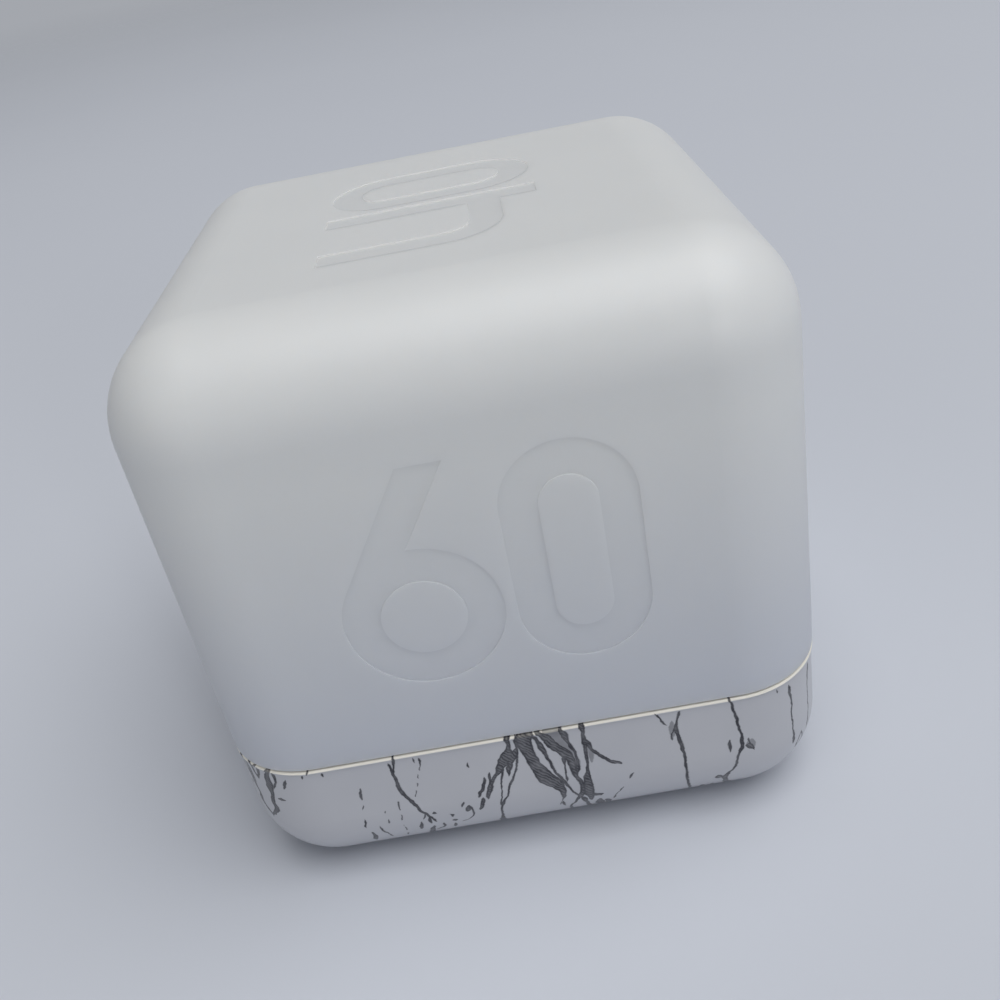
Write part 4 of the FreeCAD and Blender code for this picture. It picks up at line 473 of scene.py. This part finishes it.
colour = add(tree, "ShaderNodeMix", {0: cut_edge, 6: mask_colour, 7: laminate}, take=2, data_type="RGBA")
tree.links.new(colour, shader.inputs["Base Color"])
lay(tree, shader, cut_edge, rough=(0.28, 0.75))
lay(tree, shader, copper, relief=(0.5, 0.04))
wear_finish(board_mask, "main_board")

# ------------------------------------------------ parts soldered to the board
# A moulded microcontroller on gull-wing leads, a canned crystal, a sleeved tin capacitor, fired
# ceramic chips and a transistor, all soldered with tin.


def leave_legs(tree, shader, place, body, level):
    """Colours a moulded body, and leaves its legs as bare tin below a height in mm."""
    height = add(tree, "ShaderNodeSeparateXYZ", {0: place}, take=2)
    legs = add(tree, "ShaderNodeMath", {0: height, 1: level}, operation="LESS_THAN")
    colour = add(tree, "ShaderNodeMix", {0: legs, 6: body, 7: linear("#C4C4C0")}, take=2, data_type="RGBA")
    tree.links.new(colour, shader.inputs["Base Color"])
    tree.links.new(legs, shader.inputs["Metallic"])


# Moulded epoxy, sanded by the mould: nearly black with a dull even sheen.
chip_epoxy, tree, shader, place = new_finish("epoxy_moulded_black", Roughness=0.5, IOR=1.55)
grain = add(tree, "ShaderNodeTexNoise", {"Vector": place, "Scale": 9.0, "Detail": 3.0})
epoxy = add(tree, "ShaderNodeMix", {0: grain, 6: linear("#1D1E20"), 7: linear("#2B2C2F")}, take=2,
            data_type="RGBA")
leave_legs(tree, shader, place, epoxy, BOARD_TOP + 0.1)
lay(tree, shader, grain, relief=(0.25, 0.03))
wear_finish(chip_epoxy, "microcontroller", "driver_transistor")

# Tin plate and solder: pale, soft metal with a slightly frosted shine.
tinned, tree, shader, place = new_finish("copper_lead_tinned", Metallic=1.0)
frost = add(tree, "ShaderNodeTexNoise", {"Vector": place, "Scale": 5.0, "Detail": 4.0})
lay(tree, shader, frost, ("#BDBEBC", "#DADBD9"), rough=(0.24, 0.42))
wear_finish(tinned, "chip_leads")
wear_finish(drawn_nickel, "crystal")

# Shrunk PVC sleeve: deep blue gloss with a pale stripe down the negative side. The tin's top is bare.
tin_low, tin_high = (Vector(corner) * 1000 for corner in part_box("electrolytic_capacitor"))
tin_middle = (tin_low + tin_high) / 2
sleeve_blue, tree, shader, place = new_finish("pvc_sleeve_over_aluminium")
centred = add(tree, "ShaderNodeVectorMath", {0: place, 1: (*tin_middle.xy, 0.0)}, operation="SUBTRACT")
across, deep, height = add(tree, "ShaderNodeSeparateXYZ", {0: centred}).node.outputs
turn = add(tree, "ShaderNodeMath", {0: deep, 1: across}, operation="ARCTAN2")
turn = add(tree, "ShaderNodeMath", {0: turn}, operation="ABSOLUTE")
striped = add(tree, "ShaderNodeMath", {0: turn, 1: 0.35}, operation="LESS_THAN")
sleeve = add(tree, "ShaderNodeMix", {0: striped, 6: linear("#1B2447"), 7: linear("#C9CCD2")}, take=2,
             data_type="RGBA")
out = add(tree, "ShaderNodeVectorMath", {0: centred, 1: (1.0, 1.0, 0.0)}, operation="MULTIPLY")
out = add(tree, "ShaderNodeVectorMath", {0: out}, take="Value", operation="LENGTH")
open_top = add(tree, "ShaderNodeMath", {0: out, 1: 2.0}, operation="LESS_THAN")
wire = add(tree, "ShaderNodeMath", {0: height, 1: BOARD_TOP + 0.19}, operation="LESS_THAN")
bare = add(tree, "ShaderNodeMath", {0: open_top, 1: wire}, operation="MAXIMUM")
scratch = add(tree, "ShaderNodeTexNoise", {"Vector": place, "Scale": 4.0, "Detail": 3.0})
tin_metal = add(tree, "ShaderNodeMix", {0: scratch, 6: linear("#BEBFC1"), 7: linear("#DCDDDF")}, take=2,
                data_type="RGBA")
colour = add(tree, "ShaderNodeMix", {0: bare, 6: sleeve, 7: tin_metal}, take=2, data_type="RGBA")
tree.links.new(colour, shader.inputs["Base Color"])
tree.links.new(bare, shader.inputs["Metallic"])
lay(tree, shader, scratch, rough=(0.2, 0.34))
wear_finish(sleeve_blue, "electrolytic_capacitor")

# Fired ceramic chips with plated end caps: a matte body between two bright ends.
CHIP_HALF, CHIP_SIDE = 1.0, 0.7     # half a chip's length, and a little over half its width
END_CAP = 0.4
for name, title, colours, long_axis, middles in (
        ("ceramic_capacitors", "ceramic_fired_tan_tinned_ends", ("#A98A62", "#93744D"), 0,
         [(-6.3, -3.6), (6, 3.8), (-11.4, 2.4), (2.4, -11)]),
        ("resistors", "alumina_glazed_black_tinned_ends", ("#1F2023", "#2C2D31"), 1,
         [(-3, 5.5), (-1, 5.5), (1, 5.5), (3, 5.5), (11.4, 4.4), (11.4, -4.4)])):
    chip_body, tree, shader, place = new_finish(title, IOR=1.6)
    axes = add(tree, "ShaderNodeSeparateXYZ", {0: place}).node.outputs
    near = None
    for middle in middles:
        beside, within = [
            add(tree, "ShaderNodeMath", {0: axes[axis], 1: middle[axis] * GRID, 2: half}, operation="COMPARE")
            for axis, half in ((1 - long_axis, CHIP_SIDE), (long_axis, CHIP_HALF - END_CAP))]
        within = add(tree, "ShaderNodeMath", {0: beside, 1: within}, operation="MULTIPLY")
        near = within if near is None else add(tree, "ShaderNodeMath", {0: near, 1: within},
                                               operation="MAXIMUM")
    speckle = add(tree, "ShaderNodeTexNoise", {"Vector": place, "Scale": 8.0, "Detail": 3.0})
    fired = add(tree, "ShaderNodeMix", {0: speckle, 6: linear(colours[0]), 7: linear(colours[1])}, take=2,
                data_type="RGBA")
    colour = add(tree, "ShaderNodeMix", {0: near, 6: linear("#CBCBC7"), 7: fired}, take=2, data_type="RGBA")
    tree.links.new(colour, shader.inputs["Base Color"])
    metal = add(tree, "ShaderNodeMath", {0: 1.0, 1: near}, operation="SUBTRACT")
    tree.links.new(metal, shader.inputs["Metallic"])
    lay(tree, shader, speckle, rough=(0.32, 0.5))
    wear_finish(chip_body, name)

# ------------------------------------------------ signal lights
# Four domed lights cast in diffused epoxy stand on the board and make the cap glow. Their tinned
# leads go through the board.

# Epoxy clouded with diffuser: milky, wet-looking, with a warm depth.
light_epoxy, tree, shader, place = new_finish("epoxy_diffused_milky", Roughness=0.14, IOR=1.5,
                                              Subsurface_Weight=0.6, Subsurface_Scale=0.001,
                                              Subsurface_Radius=(1.0, 0.9, 0.75))
cloud = add(tree, "ShaderNodeTexNoise", {"Vector": place, "Scale": 0.8, "Detail": 2.0})
milk = add(tree, "ShaderNodeMix", {0: cloud, 6: linear("#EDECE4"), 7: linear("#DEDDD2")}, take=2,
           data_type="RGBA")
leave_legs(tree, shader, place, milk, BOARD_TOP + 0.19)
wear_finish(light_epoxy, "signal_lights")

# ------------------------------------------------ sounder
# A magnetic buzzer hangs under the board in a black cup. Inside are a thin steel diaphragm, a ferrite
# ring, an enamelled coil round the pole, and a foam ring that seals the cup to the base.

wear_finish(black_pbt, "buzzer_case")
wear_finish(drawn_nickel, "buzzer_pole_plate")

# Cold-rolled steel, bare: darker than the plated parts, with rolling lines along Y.
rolled_steel, tree, shader, place = new_finish("steel_cold_rolled", Metallic=1.0)
pulled = add(tree, "ShaderNodeVectorMath", {0: place, 1: (9.0, 0.5, 9.0)}, operation="MULTIPLY")
lines = add(tree, "ShaderNodeTexNoise", {"Vector": pulled, "Scale": 1.0, "Detail": 3.0})
lay(tree, shader, lines, ("#8E8F90", "#B0B1B2"), rough=(0.28, 0.44))
wear_finish(rolled_steel, "buzzer_diaphragm")

# Sintered ferrite: charcoal, dull, with fine pits about 0.2 mm across.
ferrite, tree, shader, place = new_finish("ferrite_sintered", Roughness=0.62, IOR=1.9)
pits = add(tree, "ShaderNodeTexVoronoi", {"Vector": place, "Scale": 5.0})
# The pits are coloured darker than the face round them: painted shade, laid on with the bump.
lay(tree, shader, pits, ("#26272A", "#3B3C40"), relief=(0.3, 0.05))
wear_finish(ferrite, "buzzer_magnet")

# Enamelled wire, wound level: coppery ridges stacked up the coil.
WIRE = 0.2
winding, tree, shader, place = new_finish("copper_wire_enamelled_winding", Metallic=0.9, Roughness=0.3)
layer = add(tree, "ShaderNodeSeparateXYZ", {0: place}, take=2)
layer = add(tree, "ShaderNodeMath", {0: layer, 1: 2 * math.pi / WIRE}, operation="MULTIPLY")
layer = add(tree, "ShaderNodeMath", {0: layer}, operation="SINE")
layer = add(tree, "ShaderNodeMapRange", {"Value": layer, "From Min": -1.0, "From Max": 1.0})
# The colour darkens into the grooves between turns: painted shade, laid on with the bump.
lay(tree, shader, layer, ("#6E3418", "#B8683A"), relief=(0.8, 0.06))
wear_finish(winding, "buzzer_coil")

# Closed-cell foam: soft black with cells about 0.3 mm across.
seal_foam, tree, shader, place = new_finish("foam_closed_cell_black", Roughness=0.9, Sheen_Weight=0.2)
cells = add(tree, "ShaderNodeTexVoronoi", {"Vector": place, "Scale": 3.3})
# The cells' hollows are coloured darker than their walls: painted shade, laid on with the bump.
lay(tree, shader, cells, ("#17181A", "#303134"), relief=(0.7, 0.1))
wear_finish(seal_foam, "buzzer_gasket")

# ------------------------------------------------ tilt switches
# Three small plated cans, one along each axis, closed by a moulded header with two leads. A gold
# plated ball rolls in each and closes the contact when its end points down.

wear_finish(drawn_nickel, "tilt_can_x", "tilt_can_y", "tilt_can_z")

# The headers' leads come out of the black moulding below the can, so the metal starts at the board.
header_black, tree, shader, place = new_finish("pbt_header_with_tinned_leads", IOR=1.56)
grain = add(tree, "ShaderNodeTexNoise", {"Vector": place, "Scale": 5.0, "Detail": 3.0})
body = add(tree, "ShaderNodeMix", {0: grain, 6: linear("#1B1C1E"), 7: linear("#2A2B2E")}, take=2,
           data_type="RGBA")
leave_legs(tree, shader, place, body, BOARD_TOP + 0.08)
lay(tree, shader, grain, rough=(0.4, 0.56))
wear_finish(header_black, "tilt_header_x", "tilt_header_y", "tilt_header_z")

# Brass under gold flash: warm and bright, with light scuffs from rolling.
ball_gold, tree, shader, place = new_finish("brass_gold_flashed", Metallic=1.0)
scuff = add(tree, "ShaderNodeTexNoise", {"Vector": place, "Scale": 3.0, "Detail": 5.0})
lay(tree, shader, scuff, ("#D2A951", "#EBCB7D"), rough=(0.12, 0.3), start=0.35)
wear_finish(ball_gold, "tilt_ball_x", "tilt_ball_y", "tilt_ball_z")

# ------------------------------------------------ solder joints
# Tin solder wicks up each lead where it leaves the board and sets as a small hollow-sided cone. It lies
# under the board for the parts on top, and over it for the sounder, the switch and the contacts.

JOINT_PROFILE = [(0.0, -0.01), (0.75, -0.01), (0.52, 0.1), (0.4, 0.24), (0.33, 0.42), (0.0, 0.44)]
LEADS_BELOW = [*[(x + lead, y) for x in (-9.5, 9.5) for lead in (-0.8, 0.8) for y in (-18.0, 18.0)],
               (-11.44, 4.55), (-10.16, 4.55), (8.51, -10.54), (10.54, -10.54), (-2.75, 14.69),
               (-2.75, 16.69), (-24.4, -2.75), (-22.4, -2.75), (20.05, 5.6), (22.05, 5.6)]
LEADS_ABOVE = [(17.51, 0.0), (22.59, 0.0), (-16.85, -2.5), (-16.85, 0.0), (-16.85, 2.5)]
TAILS_ABOVE = [(-5.6, -24.1), (5.6, -24.1), (5.6, 24.1)]
TAIL_STRETCH = 2.9          # a contact's tail is broad, so its joint is drawn out along it

form = bmesh.new()
profile = [form.verts.new((out, 0.0, rise)) for out, rise in JOINT_PROFILE]
lines = [form.edges.new(pair) for pair in zip(profile, profile[1:])]
bmesh.ops.spin(form, geom=profile + lines, cent=(0, 0, 0), axis=(0, 0, 1), dvec=(0, 0, 0), angle=2 * math.pi,
               steps=16, use_merge=True)
bmesh.ops.remove_doubles(form, verts=form.verts[:], dist=0.0001)
first_points = form.verts[:]
first_joint = first_points + form.edges[:] + form.faces[:]
for leads, level, flipped, stretch in ((LEADS_BELOW, BOARD_LOW, math.pi, 1.0),
                                       (LEADS_ABOVE, BOARD_TOP, 0.0, 1.0),
                                       (TAILS_ABOVE, BOARD_TOP, 0.0, TAIL_STRETCH)):
    for x, y in leads:
        joint = bmesh.ops.duplicate(form, geom=first_joint)["geom"]
        joint = [part for part in joint if isinstance(part, bmesh.types.BMVert)]
        bmesh.ops.scale(form, vec=(stretch, 1.0, 1.0), verts=joint)
        bmesh.ops.rotate(form, cent=(0, 0, 0), matrix=Matrix.Rotation(flipped, 3, "X"), verts=joint)
        bmesh.ops.translate(form, vec=(x, y, level), verts=joint)
bmesh.ops.delete(form, geom=first_points, context="VERTS")
bmesh.ops.scale(form, vec=(0.001, 0.001, 0.001), verts=form.verts[:])
bmesh.ops.recalc_face_normals(form, faces=form.faces[:])
for face in form.faces:
    face.smooth = True
solder_mesh = bpy.data.meshes.new("solder_joints")
form.to_mesh(solder_mesh)
form.free()
solder_mesh.materials.append(tinned)
solder = bpy.data.objects.new("solder_joints", solder_mesh)
bpy.context.collection.objects.link(solder)
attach(solder, "casing")

# ------------------------------------------------ cap
# The upper shell, moulded in opal polycarbonate that spreads the lights' glow. Plain numbers are sunk
# a little into its sides and top, and it drops into the base's rim over a thin lip.

NUMBER_DEPTH = 0.12
NUMBER_HEIGHT = 35.9        # middle of the numbers on the sides, from the floor up
SIDE_NUMBER = (15.0, 11.9)      # half the field they lie in: across, and up
TOP_NUMBER = (12.0, 16.0)       # half the field of the number on the top
SHADE_FROM, SHADE_FULL = 46.0, 17.0    # painted shade: the cap's colour turns greyer from the one height down to the other

# Opal plastic, satin from a fine-grained mould: light soaks in, edges look soft, highlights spread wide. Low
# down the colour turns greyer: painted shade, where the board and the base behind it let no light through.
opal, tree, shader, place = new_finish("polycarbonate_opal_satin", IOR=1.58, Subsurface_Weight=1.0,
                                       Subsurface_Scale=0.003, Subsurface_Radius=(1.0, 0.95, 0.9))
across, deep, height = add(tree, "ShaderNodeSeparateXYZ", {0: place}).node.outputs
cloud = add(tree, "ShaderNodeTexNoise", {"Vector": place, "Scale": 0.05, "Detail": 2.0})
body = add(tree, "ShaderNodeMix", {0: cloud, 6: linear("#E5E6E5"), 7: linear("#DEE0E0")}, take=2,
           data_type="RGBA")
# Painted shade: the colour turns greyer towards the bottom.
low_shade = add(tree, "ShaderNodeMapRange", {"Value": height, "From Min": SHADE_FROM,
                                            "From Max": SHADE_FULL})
body = add(tree, "ShaderNodeMix", {0: low_shade, 6: body, 7: linear("#C6CAD3")}, take=2, data_type="RGBA")
tree.links.new(body, shader.inputs["Base Color"])
# The numbers' floors lie under the surface of a face, where the mould's polished inserts leave them smoother.
across = add(tree, "ShaderNodeMath", {0: across}, operation="ABSOLUTE")
deep = add(tree, "ShaderNodeMath", {0: deep}, operation="ABSOLUTE")
furthest = add(tree, "ShaderNodeMath", {0: across, 1: deep}, operation="MAXIMUM")
least = add(tree, "ShaderNodeMath", {0: across, 1: deep}, operation="MINIMUM")
sunk = None
for reading, floor_at, field in (
        (furthest, EDGE / 2 - NUMBER_DEPTH,
         ((least, 0.0, SIDE_NUMBER[0]), (height, NUMBER_HEIGHT, SIDE_NUMBER[1]))),
        (height, EDGE - NUMBER_DEPTH, ((across, 0.0, TOP_NUMBER[0]), (deep, 0.0, TOP_NUMBER[1])))):
    on_floor = add(tree, "ShaderNodeMath", {0: reading, 1: floor_at, 2: 0.03}, operation="COMPARE")
    for measured, middle, half in field:
        within = add(tree, "ShaderNodeMath", {0: measured, 1: middle, 2: half}, operation="COMPARE")
        on_floor = add(tree, "ShaderNodeMath", {0: on_floor, 1: within}, operation="MULTIPLY")
    sunk = on_floor if sunk is None else add(tree, "ShaderNodeMath", {0: sunk, 1: on_floor},
                                             operation="MAXIMUM")
grain = add(tree, "ShaderNodeTexNoise", {"Vector": place, "Scale": 3.0, "Detail": 2.0})
lay(tree, shader, sunk, rough=(0.44, 0.26))
lay(tree, shader, grain, relief=(0.05, 0.05))
wear_finish(opal, "upper_shell")

# ------------------------------------------------ screws
# Pan-head screws with cross recesses, cold-headed from steel wire and zinc plated. Four hold the
# board, and four more come up through the base into the cap's pillars.

# Bright zinc: bluish metal, a little cloudy. The thread is rolled into the shank, a ridge that climbs round it.
for screws, (axis_x, axis_y), (shank_middle, shank_half), pitch in (
        ("casing_screws", (19.5, 19.5), (11.5, 6.3), 1.0), ("board_screws", (15.7, 11.5), (11.0, 6.1), 0.8)):
    zinc, tree, shader, place = new_finish("steel_zinc_plated", Metallic=1.0)
    cloudy = add(tree, "ShaderNodeTexNoise", {"Vector": place, "Scale": 2.0, "Detail": 4.0})
    lay(tree, shader, cloudy, ("#A9ADB2", "#CDD0D2"), rough=(0.24, 0.42))
    beside, ahead, height = add(tree, "ShaderNodeSeparateXYZ", {0: place}).node.outputs
    beside = add(tree, "ShaderNodeMath", {0: beside}, operation="ABSOLUTE")
    beside = add(tree, "ShaderNodeMath", {0: beside, 1: axis_x}, operation="SUBTRACT")
    ahead = add(tree, "ShaderNodeMath", {0: ahead}, operation="ABSOLUTE")
    ahead = add(tree, "ShaderNodeMath", {0: ahead, 1: axis_y}, operation="SUBTRACT")
    climb = add(tree, "ShaderNodeMath", {0: ahead, 1: beside}, operation="ARCTAN2")
    climb = add(tree, "ShaderNodeMath", {0: height, 1: 2 * math.pi / pitch, 2: climb},
                operation="MULTIPLY_ADD")
    climb = add(tree, "ShaderNodeMath", {0: climb}, operation="SINE")
    shank = add(tree, "ShaderNodeMath", {0: height, 1: shank_middle, 2: shank_half}, operation="COMPARE")
    climb = add(tree, "ShaderNodeMath", {0: climb, 1: shank}, operation="MULTIPLY")
    lay(tree, shader, climb, relief=(1.0, 0.15))
    wear_finish(zinc, screws)

# ------------------------------------------------ battery door
# Moulded in white ABS and dipped with the base in the same film, so the veins run on across it. It
# slides out to the back, and grip grooves are sunk into its underside.

wear_finish(marble, "battery_door")

# ------------------------------------------------ floor, lamps and camera
# A pale floor that fades into the backdrop far out. A broad lamp hangs overhead, a dim one stands on the
# left, a small one puts a glint on the front corner, and even grey light comes from all round.

form = bmesh.new()
bmesh.ops.create_grid(form, x_segments=1, y_segments=1, size=4)
floor_mesh = bpy.data.meshes.new("floor")
form.to_mesh(floor_mesh)
form.free()
floor = bpy.data.objects.new("floor", floor_mesh)
bpy.context.collection.objects.link(floor)
floor.location.z = -0.00005
# Matt paper: pale, faintly cool, with a barely uneven tone. Far out it fades into the backdrop.
paper, tree, shader, place = new_finish("paper_pale_matt", Roughness=0.95, Specular_IOR_Level=0.1)
far_out = add(tree, "ShaderNodeVectorMath", {0: place}, take="Value", operation="LENGTH")
far_out = add(tree, "ShaderNodeMapRange", {"Value": far_out, "From Min": 350.0, "From Max": 1900.0,
                                           "To Min": 1.0, "To Max": 0.0}, interpolation_type="SMOOTHSTEP")
tree.links.new(far_out, shader.inputs["Alpha"])
tone = add(tree, "ShaderNodeTexNoise", {"Vector": place, "Scale": 0.004, "Detail": 2.0})
lay(tree, shader, tone, ("#D6DAE2", "#D1D5DE"))
floor_mesh.materials.append(paper)

for name, tint, width, power, where in (
        ("key", "#FFFFFF", 3.4, 75.0, (0.85, -0.7, 2.85)),
        ("fill", "#FFF8EC", 2.4, 6.5, (-2.4, -2.1, 1.5)),
        ("glint", "#FFFFFF", 0.14, 1.3, (0.51, -1.04, 0.36))):
    lamp = bpy.data.lights.new(name, "AREA")
    lamp.shape, lamp.size, lamp.energy, lamp.color = "DISK", width, power, linear(tint)[:3]
    stand = bpy.data.objects.new(name, lamp)
    bpy.context.collection.objects.link(stand)
    stand.location = where
    stand.rotation_euler = (Vector((0.0, 0.0, 0.03)) - Vector(where)).to_track_quat("-Z", "Y").to_euler()

room = bpy.data.worlds.new("studio")
bpy.context.scene.world = room
room.use_nodes = True
tree = room.node_tree
sky = tree.nodes["Background"]
# Seen straight on or in a reflection, the room is the pale backdrop. Its light on the object is dimmer.
rays = tree.nodes.new("ShaderNodeLightPath")
seen = add(tree, "ShaderNodeMath", {0: rays.outputs["Is Camera Ray"], 1: rays.outputs["Is Glossy Ray"]},
           operation="MAXIMUM")
seen = add(tree, "ShaderNodeMath", {0: seen, 1: rays.outputs["Is Transmission Ray"]}, operation="MAXIMUM")
level = add(tree, "ShaderNodeMapRange", {"Value": seen, "To Min": 0.17, "To Max": 0.55})
sky.inputs["Color"].default_value = linear("#D6DAE2")
tree.links.new(level, sky.inputs["Strength"])

# The camera stands close in front, just over the cap, and is tilted a little to one side.
view = bpy.data.cameras.new("camera")
view.sensor_width, view.lens, view.clip_start = 36.0, 38.583, 0.005
camera = bpy.data.objects.new("camera", view)
bpy.context.collection.objects.link(camera)
right = Vector((0.9830389, -0.0588821, -0.1736878))
above = Vector((0.1794327, 0.5046492, 0.8444721))
turned = Matrix((right, above, right.cross(above))).transposed().to_4x4()
camera.matrix_world = Matrix.Translation((0.005515, -0.106748, 0.087570)) @ turned
bpy.context.scene.camera = camera
bpy.context.scene.view_settings.view_transform = "Standard"
